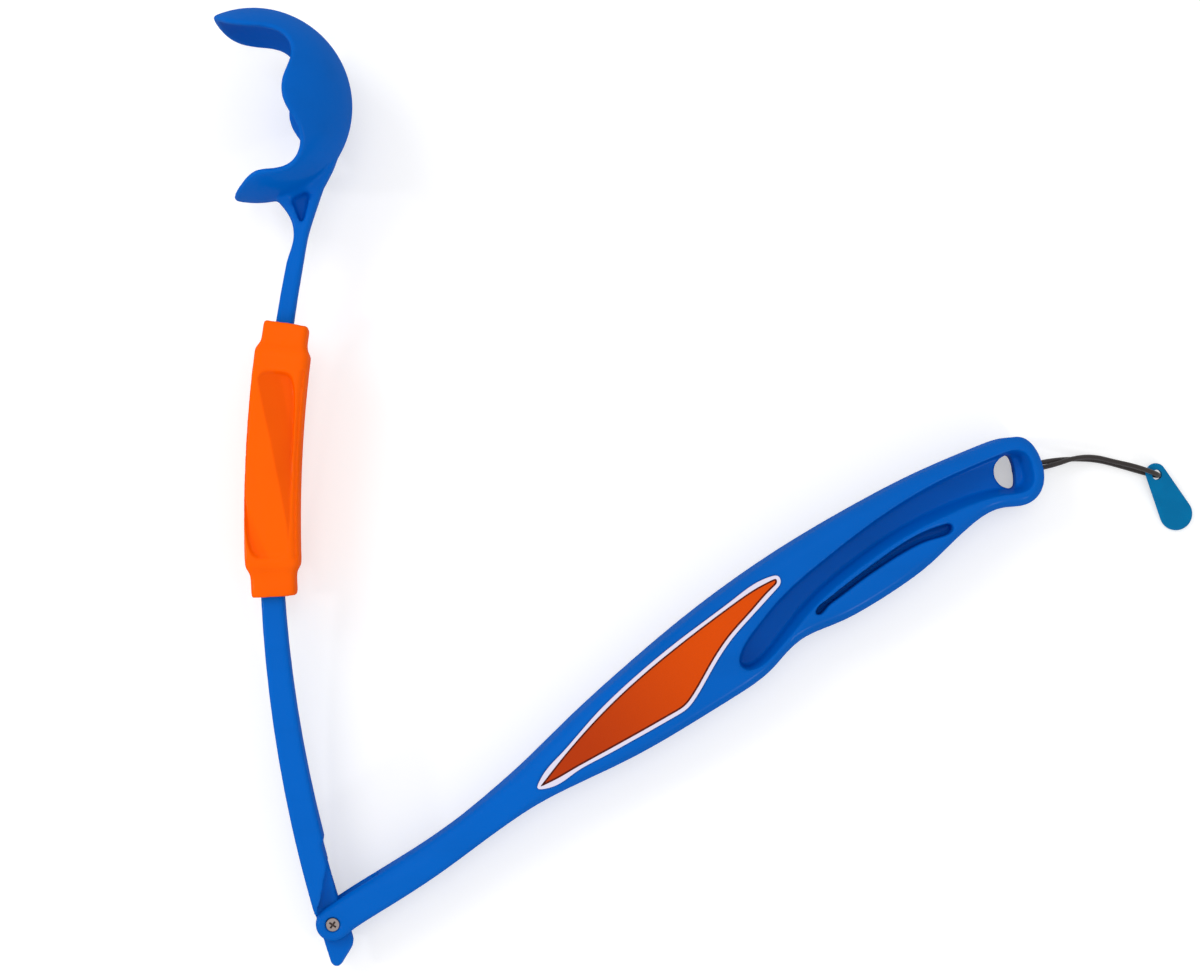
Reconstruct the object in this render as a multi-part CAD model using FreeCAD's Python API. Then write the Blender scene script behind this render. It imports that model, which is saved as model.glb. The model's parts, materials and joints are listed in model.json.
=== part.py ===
import FreeCAD, Part
import math
import os

# Folding ball launcher, lying on its side. Sizes are millimetres and degrees.
# The mouldings are drawn round the hinge pin, whose axis is Z, and mirrored
# about Z = 0. At the end everything is laid down as it comes to rest on a flat
# surface, with the origin under the middle of the box round it.

V = FreeCAD.Vector

# Ball and cup
BALL_RADIUS = 32.0
BALL_CLEARANCE = 0.2
CUP_WALL = 2.9
RIM_ROUND = 0.9

# Throwing arm: the shaft follows one bend, measured along it from the hinge pin
ARM_DIRECTION = 107.7
BEND_RADIUS = 489.0
CUP_REACH = 292.0
CUP_OFFSET = 28.2
CUP_TURN = 16.5
SHAFT_TOP = 240.0
SHAFT_LEFT_AT_HINGE = 5.3
SHAFT_RIGHT_AT_HINGE = 5.2
SHAFT_LEFT_AT_CUP = 3.4
SHAFT_RIGHT_AT_CUP = 2.4
SHAFT_STEP = 0.9
SHAFT_STEP_HEIGHT = 29.0
SHAFT_THICKNESS_AT_CUP = 11.0
SHAFT_ROUND = 1.2
POCKET_WEB = 2.5
POCKET_WALL = 1.2
POCKET_ROUND = 0.7
PARK_PAD_START = 152.0
PARK_PAD_LENGTH = 40.0
PARK_PAD_CLEARANCE = 0.4
PARK_PAD_RAMP = 9.0

# Hinge
HINGE_THICKNESS = 18.0
HINGE_LENGTH = 24.0
KNUCKLE_RADIUS = 6.2
TONGUE_THICKNESS = 8.0
TONGUE_CLEARANCE = 0.35
TONGUE_SIDE = 5.05
TONGUE_WAIST = 3.9
TONGUE_WAIST_START = 11.0
TONGUE_REACH = 31.0
SWEEP_CLEARANCE = 0.4
FOLD_TURN = 48.0
RELIEF_CLEARANCE = 1.4
RELIEF_LIP = 1.0
RELIEF_LEAN = 1.6
RELIEF_START = 1.5
TAIL_TIP = 18.4
TAIL_SHOULDER = 9.6
TAIL_TIP_ROUND = 2.3
TAIL_SHOULDER_ROUND = 4.0

# Hinge pin: a barrel nut from the back and a screw from the front
BARREL_RADIUS = 2.1
BARREL_RUNNING_FIT = 0.05
BARREL_SEAT_FIT = 0.02
BARREL_END_GAP = 0.3
BARREL_HEAD_RADIUS = 3.3
BARREL_HEAD_HEIGHT = 1.3
SCREW_RADIUS = 1.3
SCREW_FIT = 0.02
SCREW_LENGTH = 9.0
SCREW_END_GAP = 1.0
SCREW_HEAD_RADIUS = 2.4
SCREW_HEAD_HEIGHT = 1.3
COUNTERBORE_CLEARANCE = 0.45
HEAD_DEPTH = 0.3
DRIVE_WIDTH = 0.7
DRIVE_LENGTH = 2.9
DRIVE_DEPTH = 0.7
HEAD_ROUND = 0.3

# Handle, measured along its neck from the hinge pin
HANDLE_DIRECTION = 30.4
HANDLE_THICKNESS = 24.0
NECK_END = 52.0
GRIP_START = 92.0
HANDLE_ROUND = 2.2
SHOULDERS = [(-4, 4.6, 3.4), (24, 4.6, 3.4), (52, 4.0, 3.0), (80, 3.2, 2.6), (112, 2.4, 2.2)]
WEB_THICKNESS = 6.0
GROOVE_DEPTH = 8.0
HANG_HOLE_ROUND = 1.0

# Label plates, one on each face of the handle
LABEL_SEAT_DEPTH = 0.8
LABEL_GAP = 0.1
LABEL_BASE = 0.7
LABEL_RIM_HEIGHT = 0.4
LABEL_RIM_WIDTH = 1.3

# Lock sleeve, which rides on the bend of the shaft
SLEEVE_START = 120.0
SLEEVE_LENGTH = 99.5
LOWER_COLLAR = 8.5
UPPER_COLLAR = 7.8
SLEEVE_TAPER = 3.0
SLEEVE_OFFSET = 0.4
SLEEVE_BORE_CLEARANCE = 0.4
SLEEVE_BORE_FACE_CLEARANCE = 0.5
SLEEVE_WALL = 3.2
SLEEVE_FACE_WALL = 3.2
COLLAR_WALL = 1.4
COLLAR_FACE_WALL = 1.7
SLEEVE_ROUND = 3.0
COLLAR_ROUND = 1.6
BORE_ROUND = 1.0
PANEL_START = 16.0
PANEL_LENGTH = 66.0
PANEL_WIDTH = 16.0
PANEL_DEPTH = 1.8
CREASE_OFFSET = -0.4
CREASE_TURN = 9.0
FACET_TILT = 6.5
CORNER_PLACE = -0.62
CORNER_OFFSET = -4.6
CORNER_TURN = 199.0
CORNER_TILT = 9.5

# Cord, its knot and the pull tab on its far end
CORD_DIAMETER = 1.8
CORD_LIFT = 0.05
CORD_LEAD = 1.2
STRAND_SPACING = 2.2
CORD_EXIT = (307.6, 12.9, -6.7)
CORD_BORE_CLEARANCE = 0.15
CORD_BORE_TURN = -18.0
CORD_BORE_LENGTH = 3.6
KNOT_RADIUS = 3.0
KNOT_LENGTH = 3.0
KNOT_ROUND = 1.1
KNOT_SEAT_ROUND = 0.2
KNOT_CLEARANCE = 0.3
TAB_THICKNESS = 2.0
TAB_TOP_RADIUS = 3.8
TAB_END_RADIUS = 6.2
TAB_LENGTH = 17.2
TAB_DIRECTION = -62.0
TAB_ROUND = 0.7
TAB_HOLE = (47.4, -2.5)
TAB_HOLE_SHIFT = 0.6
TAB_HOLE_CLEARANCE = 1.0
TAB_GAP = 0.8

PLANE = V(0, 0, 1)
ORIGIN = V(0, 0, 0)


def polar(radius, degrees):
    angle = math.radians(degrees)
    return V(radius * math.cos(angle), radius * math.sin(angle), 0)


def turned(vector, degrees):
    return FreeCAD.Rotation(PLANE, degrees).multVec(vector)


def flat(points):
    return [V(x, y, 0) for x, y in points]


def line(a, b):
    return Part.LineSegment(a, b).toShape()


def arc(a, b, c):
    return Part.Arc(a, b, c).toShape()


def smooth(points, start=None, end=None, step=5):
    """A fair curve through the points, in short lengths, with its end directions."""
    curve = Part.BSplineCurve()
    if start and end:
        curve.interpolate(Points=points, InitialTangent=start, FinalTangent=end)
    else:
        curve.interpolate(Points=points)
    stations = list(range(0, len(points) - 1, step)) + [len(points) - 1]
    knots = [curve.getKnot(i + 1) for i in stations]
    pieces = []
    for low, high in zip(knots, knots[1:]):
        piece = curve.copy()
        piece.segment(low, high)
        pieces.append(piece.toShape())
    return pieces


def polygon(points):
    return Part.makePolygon(points + points[:1])


def slab(wire, low, high):
    face = Part.Face(wire)
    face.translate(V(0, 0, low))
    return face.extrude(V(0, 0, high - low))


def moved(shape, vector):
    copy = shape.copy()
    copy.translate(vector)
    return copy


def rotated(shape, centre, axis, degrees):
    copy = shape.copy()
    copy.rotate(centre, axis, degrees)
    return copy


def both_faces(shape):
    return [shape, shape.mirror(ORIGIN, PLANE)]


def cut_all(shape, tools):
    for tool in tools:
        shape = shape.cut(tool)
    return shape


def one_solid(shape):
    solids = shape.Solids
    if len(solids) != 1 or not solids[0].isValid():
        raise ValueError("expected one valid solid and got %d" % len(solids))
    return solids[0]


def cylinder(radius, low, high, centre=ORIGIN):
    return Part.makeCylinder(radius, high - low, centre + V(0, 0, low), PLANE)


def flat_edges(shape):
    """Edges that run along a moulding, apart from those straight across it."""
    found = []
    for edge in shape.Edges:
        start = edge.tangentAt(edge.FirstParameter)
        across = edge.Curve.TypeId == "Part::GeomLine" and edge.Length < 30 and abs(start.y) > 0.999
        if abs(start.z) < 0.5 and abs(edge.CenterOfMass.z) > 1 and not across:
            found.append(edge)
    return found


# Arm frame: hinge pin at the origin, +Y along the shaft, +X to the right of it


def on_bend(along, right):
    turn = along / BEND_RADIUS
    reach = BEND_RADIUS - right
    return V(BEND_RADIUS - reach * math.cos(turn), reach * math.sin(turn), 0)


def shaft_edge(along, side, inset=0.0):
    """Point on the right (1) or left (-1) edge of the tapering shaft."""
    first = SHAFT_RIGHT_AT_HINGE if side > 0 else SHAFT_LEFT_AT_HINGE
    last = SHAFT_RIGHT_AT_CUP if side > 0 else SHAFT_LEFT_AT_CUP
    half = first + along / SHAFT_TOP * (last - first)
    return on_bend(along, side * (half - inset))


def shaft_side(start, end, side, inset=0.0):
    places = (start, (start + end) / 2, end)
    return arc(*[shaft_edge(s, side, inset) for s in places])


def along_bend(along):
    return turned(V(0, 1, 0), -math.degrees(along / BEND_RADIUS))


CUP_INSIDE = BALL_RADIUS + BALL_CLEARANCE
CUP_OUTSIDE = CUP_INSIDE + CUP_WALL
CUP_ANGLE = CUP_TURN - math.degrees(CUP_REACH / BEND_RADIUS)
CUP_CENTRE = on_bend(CUP_REACH, -CUP_OFFSET)


def in_cup(x, y):
    """A point given from the ball's centre, in the arm frame."""
    return CUP_CENTRE + turned(V(x, y, 0), CUP_ANGLE)


# Front edge of the cup from the finger tip past the side lobe to the thumb tip
CUP_EDGE = [
    (-19.0, 36.5),
    (-15.4, 31.0),
    (-10.0, 26.9),
    (-2.8, 25.2),
    (4.4, 24.6),
    (10.4, 22.5),
    (13.5, 18.2),
    (13.6, 13.2),
    (11.4, 6.5),
    (10.8, 0.8),
    (12.6, -4.6),
    (16.0, -10.0),
    (17.2, -15.2),
    (14.6, -21.8),
    (8.0, -24.9),
    (1.2, -26.1),
    (-3.8, -29.9),
    (-8.8, -34.8),
    (-12.6, -39.0),
]

# Sides of the fork that carries the cup, down to the shaft
FORK_RIGHT = [(29.7, -18.5), (28.4, -22.2), (25.2, -28.7), (22.4, -36.7), (19.5, -46.2)]
FORK_LEFT = [(7.2, -33.0), (10.4, -36.7), (12.9, -40.6), (14.1, -44.6), (14.1, -49.0)]


def cup_ball(radius):
    ball = Part.makeSphere(radius)
    ball.rotate(ORIGIN, PLANE, 180 + CUP_ANGLE)
    return moved(ball, CUP_CENTRE)


def make_cup_shell():
    reach = CUP_OUTSIDE * 1.5
    front = [in_cup(x, y) for x, y in CUP_EDGE]
    back = [in_cup(reach, CUP_EDGE[-1][1]), in_cup(reach, reach), in_cup(CUP_EDGE[0][0], reach)]
    sides = [line(a, b) for a, b in zip([front[-1]] + back, back + [front[0]])]
    keep = slab(Part.Wire(smooth(front, step=9) + sides), -reach, reach)
    shell = cup_ball(CUP_OUTSIDE).cut(cup_ball(CUP_INSIDE)).common(keep)
    rim = [e for e in shell.Edges if (e.CenterOfMass - CUP_CENTRE).Length > 1 and on_rim(e)]
    return one_solid(shell.makeFillet(RIM_ROUND, rim))


def on_rim(edge):
    """True for the edges where the cup's walls meet its front edge."""
    ends = [edge.valueAt(edge.FirstParameter), edge.valueAt(edge.LastParameter)]
    reaches = [(end - CUP_CENTRE).Length for end in ends]
    return any(all(abs(r - radius) < 0.01 for r in reaches) for radius in (CUP_INSIDE, CUP_OUTSIDE))


def side_profile():
    """The arm seen from the side, which thins from the hinge to the cup."""
    hinge = HINGE_THICKNESS / 2
    top = SHAFT_THICKNESS_AT_CUP / 2
    pad = sleeve_bore_face() - PARK_PAD_CLEARANCE
    slope = (top - hinge) / (SHAFT_TOP - HINGE_LENGTH)
    pad_end = PARK_PAD_START + PARK_PAD_LENGTH

    def height(along):
        return hinge + slope * (along - HINGE_LENGTH)

    upper = [
        (-30, hinge),
        (HINGE_LENGTH, hinge),
        (PARK_PAD_START, height(PARK_PAD_START)),
        (PARK_PAD_START + PARK_PAD_RAMP, pad),
        (pad_end - PARK_PAD_RAMP, pad),
        (pad_end, height(pad_end)),
        (SHAFT_TOP, top),
        (SHAFT_TOP + 200, top),
    ]
    points = [V(-100, y, z) for y, z in upper] + [V(-100, y, -z) for y, z in reversed(upper)]
    return Part.Face(polygon(points)).extrude(V(400, 0, 0))


def make_shaft():
    """Shaft and fork in one outline, at full thickness."""
    low, step, high = RELIEF_START, SHAFT_STEP_HEIGHT, SHAFT_TOP
    right = [shaft_edge(high, 1)] + [in_cup(*p) for p in reversed(FORK_RIGHT)]
    left = [in_cup(*p) for p in FORK_LEFT] + [shaft_edge(high, -1)]
    upward = along_bend(high)
    edges = [shaft_side(low, step, 1, SHAFT_STEP)]
    edges.append(line(shaft_edge(step, 1, SHAFT_STEP), shaft_edge(step + SHAFT_STEP, 1)))
    edges.append(shaft_side(step + SHAFT_STEP, high, 1))
    edges += smooth(right, upward * 10, (right[-1] - right[-2]), step=9)
    edges.append(line(right[-1], left[0]))
    edges += smooth(left, (left[1] - left[0]), upward * -6, step=9)
    edges.append(shaft_side(high, low, -1))
    edges.append(line(shaft_edge(low, -1), shaft_edge(low, 1, SHAFT_STEP)))
    return slab(Part.Wire(edges), -20, 20).common(side_profile())


def shaft_long_edges(shaft):
    found = []
    for edge in shaft.Edges:
        start = edge.tangentAt(edge.FirstParameter)
        middle = edge.CenterOfMass
        if abs(start.z) > 0.6 or middle.y < 2 or abs(start.y) < 0.3:
            continue
        if (middle - CUP_CENTRE).Length > CUP_OUTSIDE - 3:
            found.append(edge)
    return found


def make_pocket():
    """One triangular pocket of the fork, from its web to past its face."""
    top = CUP_OUTSIDE + POCKET_WALL
    left, middle, right = [in_cup(*polar(top, a)[:2]) for a in (-69.0, -62.0, -55.6)]
    foot = in_cup(17.3, -44.4)
    shoulder = in_cup(14.3, -36.4)
    sides = [line(right, foot), line(foot, shoulder), line(shoulder, left)]
    outline = Part.Wire([arc(left, middle, right)] + sides)
    prism = slab(outline, POCKET_WEB / 2, SHAFT_THICKNESS_AT_CUP)
    upright = [e for e in prism.Edges if abs(e.tangentAt(e.FirstParameter).z) > 0.9]
    return prism.makeFillet(POCKET_ROUND, upright)


def relief():
    """Room for the handle's neck when the arm is folded down, in the arm frame."""
    foot = KNUCKLE_RADIUS + RELIEF_CLEARANCE
    top = foot - RELIEF_LEAN
    tongue = TONGUE_THICKNESS / 2
    face = HINGE_THICKNESS / 2
    above = HINGE_THICKNESS
    section = [(-30, above), (-30, tongue), (foot, tongue), (foot, tongue + RELIEF_LIP)]
    section += [(top, face), (top, above)]
    points = [V(RELIEF_START, y, z) for y, z in section]
    prism = Part.Face(polygon(points)).extrude(V(80, 0, 0))
    knuckle = cylinder(KNUCKLE_RADIUS + SWEEP_CLEARANCE, tongue, above)
    prism.rotate(ORIGIN, PLANE, HANDLE_DIRECTION - ARM_DIRECTION + FOLD_TURN + 90)
    return both_faces(prism.fuse(knuckle))


def make_tongue():
    """The thin end of the arm, round the pin and past it to the slanted tail."""
    half = TONGUE_THICKNESS / 2
    tip, heel = V(-TONGUE_SIDE, -TAIL_TIP, 0), V(TONGUE_SIDE, -TAIL_SHOULDER, 0)
    waist, end = TONGUE_WAIST_START, TONGUE_REACH
    side = [on_bend(s, TONGUE_WAIST) for s in (waist, (waist + end) / 2, end)]
    inset = SHAFT_LEFT_AT_HINGE - TONGUE_SIDE
    edges = [line(tip, heel), line(heel, on_bend(0, TONGUE_SIDE)), line(on_bend(0, TONGUE_SIDE), side[0])]
    edges += [arc(*side), line(side[-1], shaft_edge(end, -1, inset))]
    edges += [shaft_side(end, 0, -1, inset), line(on_bend(0, -TONGUE_SIDE), tip)]
    tongue = slab(Part.Wire(edges), -half, half)
    for corner, radius in ((tip, TAIL_TIP_ROUND), (heel, TAIL_SHOULDER_ROUND)):
        upright = [e for e in tongue.Edges if (e.CenterOfMass - corner).Length < 0.05]
        tongue = tongue.makeFillet(radius, upright)
    return tongue


def tail_sweep():
    """How far the rounded tip of the tail reaches from the pin."""
    half_angle = math.atan2(2 * TONGUE_SIDE, TAIL_TIP - TAIL_SHOULDER) / 2
    back = TAIL_TIP_ROUND / math.tan(half_angle)
    return math.hypot(TONGUE_SIDE - TAIL_TIP_ROUND, TAIL_TIP - back) + TAIL_TIP_ROUND


def make_arm():
    shaft = make_shaft()
    shaft = shaft.makeFillet(SHAFT_ROUND, shaft_long_edges(shaft))
    shaft = cut_all(shaft, relief())
    arm = shaft.fuse(make_tongue()).cut(cup_ball(CUP_INSIDE)).fuse(make_cup_shell())
    arm = cut_all(arm, both_faces(make_pocket()))
    arm = arm.cut(cylinder(BARREL_RADIUS + BARREL_RUNNING_FIT, -20, 20))
    return one_solid(arm.removeSplitter())


# Handle frame: hinge pin at the origin, +X along the neck, +Y towards the arm

HANDLE_OUTLINE = [
    (8, 6.6), (24, 7.1), (40, 7.5), (57.5, 8.8), (71.7, 10.9), (86.2, 13.6), (99.3, 16.8), (113.3, 20.3),
    (139, 25.7), (164.8, 30.2), (189.2, 33.1), (214.9, 34.6), (240.2, 34.6), (262.2, 33.7), (277.9, 32.2),
    (293.5, 30.1), (302, 28.4), (306.6, 25.8), (308.6, 20.8), (308.3, 14.6), (306.3, 9.0), (302.0, 4.9),
    (296.6, 3.7), (292.2, 4.9), (288.0, 6.9), (283.2, 8.1), (278.0, 8.1), (271.5, 7.1), (262.7, 5.1),
    (253.5, 2.9), (241.4, 1.4), (226.5, 0.8), (213.6, 1.4), (204.0, 2.8), (197.5, 2.9), (191.5, 1.6),
    (184.5, -0.7), (177.5, -2.1), (168, -2.7), (151.3, -3.1), (128.3, -3.1), (106.6, -1.5), (85, -0.1),
    (63.6, -1.7), (43.3, -3.9), (23.6, -4.9), (10.0, -5.2), (4.0, -5.7),
]

# Recess in each face: its edge at the face, and how far its floor lies inside that
RECESS = [
    (219.4, 24.2, 0.2, -1.0), (230.5, 25.8, 0.2, -1.0), (244.2, 27.3, 0.0, -1.0), (260.0, 28.0, 0.0, -1.0),
    (272.7, 27.6, 0.0, -1.0), (285.0, 26.3, 0.0, -1.0), (295.0, 25.0, -0.3, -1.0), (301.0, 23.6, -1.2, -1.2),
    (304.2, 20.6, -2.0, -0.8), (304.0, 15.5, -2.6, 0.0), (302.4, 11.0, -2.6, 0.8), (299.3, 8.5, -1.6, 2.0),
    (295.0, 8.8, -0.6, 2.4), (290.0, 10.8, 0.0, 2.8), (283.0, 13.0, 0.0, 3.0), (272.3, 14.9, 0.0, 3.0),
    (261.0, 16.0, 0.0, 3.0), (250.1, 16.4, 0.0, 3.0), (240.0, 16.0, 0.0, 3.0), (230.7, 15.0, -0.4, 3.0),
    (222.0, 13.8, -0.6, 3.0), (213.2, 12.2, -0.8, 2.8), (204.0, 9.6, -1.0, 2.6), (194.5, 6.0, -1.0, 2.4),
    (188.0, 3.8, -0.6, 2.2), (183.3, 2.6, 0.0, 2.0), (178.5, 2.4, 0.6, 1.6), (175.0, 4.2, 1.2, 0.8),
    (174.3, 7.2, 0.9, 0.0), (176.5, 10.2, 0.6, -0.6), (181.5, 13.4, 0.6, -0.9), (188.2, 16.2, 0.4, -1.0),
    (197.3, 19.6, 0.3, -1.0), (206.7, 22.0, 0.2, -1.0),
]

# Groove below the recess: its edge at the face
GROOVE = [
    (219, 11.9), (227.5, 13.0), (237, 13.9), (248.8, 14.9), (257.5, 14.5), (264, 13.3), (267.3, 11.6),
    (266.6, 9.7), (263.6, 9.2), (258, 10.6), (249, 11.6), (237, 11.3), (227, 10.5), (218, 9.4),
    (212, 8.4), (208.6, 7.6), (207.2, 8.5), (208.4, 10.0), (212.6, 11.0),
]

# Hang hole: foot, middle of its flatter side, top and middle of its round side
HANG_HOLE = [(296.2, 10.5), (299.2, 16.2), (300.4, 22.2), (291.4, 16.8)]

# Label plates: outer edge of the rim
LABEL = [
    (118, 3.1), (133, 2.75), (144.6, 2.6), (149.6, 2.9), (153.6, 4.4), (164.5, 10.6), (176.5, 16.6),
    (188.0, 20.4), (199.2, 23.9), (202.0, 25.5), (202.3, 27.5), (199.8, 28.9), (184.5, 28.7),
    (160.2, 25.9), (135.3, 21.7), (117.9, 17.3), (101.5, 11.8), (89.8, 7.1), (88.3, 5.5), (90.4, 4.0),
    (103, 3.5),
]


def ring(points, inset=0.0, step=5):
    """Closed fair curve through the points, or a constant distance inside it."""
    loop = flat(points + points[:1])
    ahead = (loop[1] - loop[-2]) * 0.5
    if inset:
        curve = Part.BSplineCurve()
        curve.interpolate(Points=loop, InitialTangent=ahead, FinalTangent=ahead)
        tangents = [V(*curve.tangent(curve.getKnot(i + 1))[0]).normalize() for i in range(len(loop))]
        loop = [p + V(-t.y, t.x, 0) * inset for p, t in zip(loop, tangents)]
        loop[-1] = loop[0]
    return Part.Wire(smooth(loop, ahead, ahead, step))


def make_handle_blank():
    top, bottom = V(0, KNUCKLE_RADIUS, 0), V(0, -KNUCKLE_RADIUS, 0)
    points = [top] + flat(HANDLE_OUTLINE) + [bottom]
    edges = smooth(points, V(8, 0, 0), V(-4, 0, 0)) + [arc(bottom, V(-KNUCKLE_RADIUS, 0, 0), top)]
    blank = slab(Part.Wire(edges), -HANDLE_THICKNESS, HANDLE_THICKNESS)
    thin, thick = HINGE_THICKNESS / 2, HANDLE_THICKNESS / 2
    span = V(GRIP_START - NECK_END, 0, 0)
    swell = smooth([V(NECK_END, -80, thin), V(GRIP_START, -80, thick)], span, span)
    upper = [line(V(-40, -80, thin), V(NECK_END, -80, thin))] + swell
    upper.append(line(V(GRIP_START, -80, thick), V(400, -80, thick)))
    lower = [edge.mirror(ORIGIN, PLANE) for edge in reversed(upper)]
    ends = [line(V(400, -80, thick), V(400, -80, -thick)), line(V(-40, -80, -thin), V(-40, -80, thin))]
    profile = Part.Face(Part.Wire(upper + ends[:1] + lower + ends[1:])).extrude(V(0, 200, 0))
    blank = blank.common(profile)
    return blank.makeFillet(HANDLE_ROUND, flat_edges(blank))


def upper_edge(along):
    """Height of the handle's upper edge above the pin."""
    points = [(0, KNUCKLE_RADIUS)] + HANDLE_OUTLINE[:10]
    for (x0, y0), (x1, y1) in zip(points, points[1:]):
        if x0 <= along <= x1:
            return y0 + (y1 - y0) * (along - x0) / (x1 - x0)
    return KNUCKLE_RADIUS


def face_height(along):
    share = min(max((along - NECK_END) / (GRIP_START - NECK_END), 0), 1)
    rise = (HANDLE_THICKNESS - HINGE_THICKNESS) / 2
    return HINGE_THICKNESS / 2 + rise * share * share * (3 - 2 * share)


def soft_shoulder():
    """Wide soft round along the neck's upper edge, which narrows to the grip."""
    sections = []
    for along, width, depth in SHOULDERS:
        edge, face = upper_edge(along), face_height(along)
        inner, outer = V(along, edge - width, face), V(along, edge, face - depth)
        corner = V(along, edge - 0.3 * width, face - 0.3 * depth)
        far = [(edge + 4, face - depth), (edge + 4, face + 4), (edge - width, face + 4)]
        corners = [outer] + [V(along, y, z) for y, z in far] + [inner]
        sides = [line(a, b) for a, b in zip(corners, corners[1:])]
        sections.append(Part.Wire([arc(inner, corner, outer)] + sides))
    return Part.makeLoft(sections, True, False)


def recess():
    """The long recess from just above the face to the web."""
    deep = (HANDLE_THICKNESS - WEB_THICKNESS) / 2
    wires = []
    for share in (-0.1, 1.0):
        points = [(x + share * dx, y + share * dy) for x, y, dx, dy in RECESS]
        wire = ring(points, step=6)
        wire.translate(V(0, 0, HANDLE_THICKNESS / 2 - share * deep))
        wires.append(wire)
    return Part.makeLoft(wires, True, True)


def groove():
    face = HANDLE_THICKNESS / 2
    wire = ring(GROOVE)
    return slab(wire, face - GROOVE_DEPTH, face + 1)


def hang_hole():
    foot, flatter, top, side = flat(HANG_HOLE)
    prism = slab(Part.Wire([arc(foot, side, top), arc(top, flatter, foot)]), -WEB_THICKNESS, WEB_THICKNESS)
    upright = [e for e in prism.Edges if abs(e.tangentAt(e.FirstParameter).z) > 0.9]
    return prism.makeFillet(HANG_HOLE_ROUND, upright)


def tongue_slot():
    """Slot through the neck's end, shaped by the tongue's two stops and its sweep."""
    gap = TONGUE_CLEARANCE
    tip, heel = V(TAIL_TIP, -TONGUE_SIDE, 0), V(TAIL_SHOULDER, TONGUE_SIDE, 0)
    along = (heel - tip).normalize()
    out = V(along.y, -along.x, 0)
    stop = tip + out * gap
    fold = ARM_DIRECTION - HANDLE_DIRECTION - FOLD_TURN
    floor_along, floor_up = polar(1, fold), polar(1, fold + 90)
    reach = TONGUE_SIDE + gap
    share = (-reach - stop.dot(floor_up)) / along.dot(floor_up)
    corner = stop + along * share
    radius = tail_sweep() + SWEEP_CLEARANCE
    foot = stop.dot(along)
    below = stop - along * (foot + math.sqrt(radius ** 2 - stop.dot(out) ** 2))
    arc_end = polar(radius, -75)
    far = [arc_end + V(0, -40, 0), V(-60, -60, 0), V(-60, 90, 0), corner + floor_along * 90]
    edges = [line(corner, below), arc(below, polar(radius, -45), arc_end)]
    edges += [line(a, b) for a, b in zip([arc_end] + far, far + [corner])]
    half = TONGUE_THICKNESS / 2 + gap
    return slab(Part.Wire(edges), -half, half)


def label_wire(inset=0.0):
    return ring(LABEL, inset, 3)


def pin_tools():
    """Holes for the nut and the screw through both cheeks."""
    face = HINGE_THICKNESS / 2
    barrel = cylinder(BARREL_RADIUS + BARREL_SEAT_FIT, -20, 20)
    back = cylinder(BARREL_HEAD_RADIUS + COUNTERBORE_CLEARANCE, -20, -face + HEAD_DEPTH + BARREL_HEAD_HEIGHT)
    front = cylinder(SCREW_HEAD_RADIUS + COUNTERBORE_CLEARANCE, face - HEAD_DEPTH - SCREW_HEAD_HEIGHT, 20)
    return [barrel, back, front]


def cord_bore_frame():
    """Exit point on the handle's end and the direction in which the cord leaves."""
    return V(*CORD_EXIT), polar(1, CORD_BORE_TURN)


def cord_tools():
    exit_point, direction = cord_bore_frame()
    radius = STRAND_SPACING / 2 + CORD_DIAMETER / 2 + CORD_BORE_CLEARANCE
    bore = Part.makeCylinder(radius, 12, exit_point - direction * 6, direction)
    floor = exit_point - direction * CORD_BORE_LENGTH
    pocket = Part.makeCylinder(KNOT_RADIUS + KNOT_CLEARANCE, 6, floor, direction * -1)
    return [bore, pocket]


def make_handle():
    handle = make_handle_blank()
    tools = both_faces(soft_shoulder()) + both_faces(recess()) + both_faces(groove())
    face = HANDLE_THICKNESS / 2
    seat = slab(label_wire(-LABEL_GAP), face - LABEL_SEAT_DEPTH, face + 2)
    tools += both_faces(seat) + [hang_hole(), tongue_slot()] + pin_tools() + cord_tools()
    return one_solid(cut_all(handle, tools))


def make_label():
    floor = HANDLE_THICKNESS / 2 - LABEL_SEAT_DEPTH
    top = floor + LABEL_BASE + LABEL_RIM_HEIGHT
    plate = slab(label_wire(), floor, top)
    well = slab(label_wire(LABEL_RIM_WIDTH), floor + LABEL_BASE, top + 1)
    return one_solid(plate.cut(well))


def make_nut():
    """Barrel nut: its head is sunk in the back cheek and its body carries the arm."""
    face = HINGE_THICKNESS / 2
    back = -face + HEAD_DEPTH
    end = face - HEAD_DEPTH - SCREW_HEAD_HEIGHT - BARREL_END_GAP
    nut = cylinder(BARREL_HEAD_RADIUS, back, back + BARREL_HEAD_HEIGHT)
    nut = nut.fuse(cylinder(BARREL_RADIUS, back, end))
    head = [e for e in nut.Edges if abs(e.CenterOfMass.z - back) < 0.01 and e.BoundBox.XLength > 3]
    nut = nut.makeFillet(HEAD_ROUND, head)
    depth = SCREW_LENGTH + SCREW_END_GAP
    nut = nut.cut(cylinder(SCREW_RADIUS + SCREW_FIT, end - depth, 20))
    slot = Part.makeBox(20, DRIVE_WIDTH, DRIVE_DEPTH, V(-10, -DRIVE_WIDTH / 2, back))
    return one_solid(nut.cut(slot).removeSplitter())


def make_screw():
    top = HINGE_THICKNESS / 2 - HEAD_DEPTH
    seat = top - SCREW_HEAD_HEIGHT
    head = cylinder(SCREW_HEAD_RADIUS, seat, top)
    crown = [e for e in head.Edges if abs(e.CenterOfMass.z - top) < 0.01]
    head = head.makeFillet(HEAD_ROUND, crown)
    screw = head.fuse(cylinder(SCREW_RADIUS, seat - SCREW_LENGTH, seat))
    for turn in (25, 115):
        corner = V(-DRIVE_LENGTH / 2, -DRIVE_WIDTH / 2, top - DRIVE_DEPTH)
        bar = Part.makeBox(DRIVE_LENGTH, DRIVE_WIDTH, 2, corner)
        screw = screw.cut(rotated(bar, ORIGIN, PLANE, turn))
    return one_solid(screw.removeSplitter())


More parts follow.
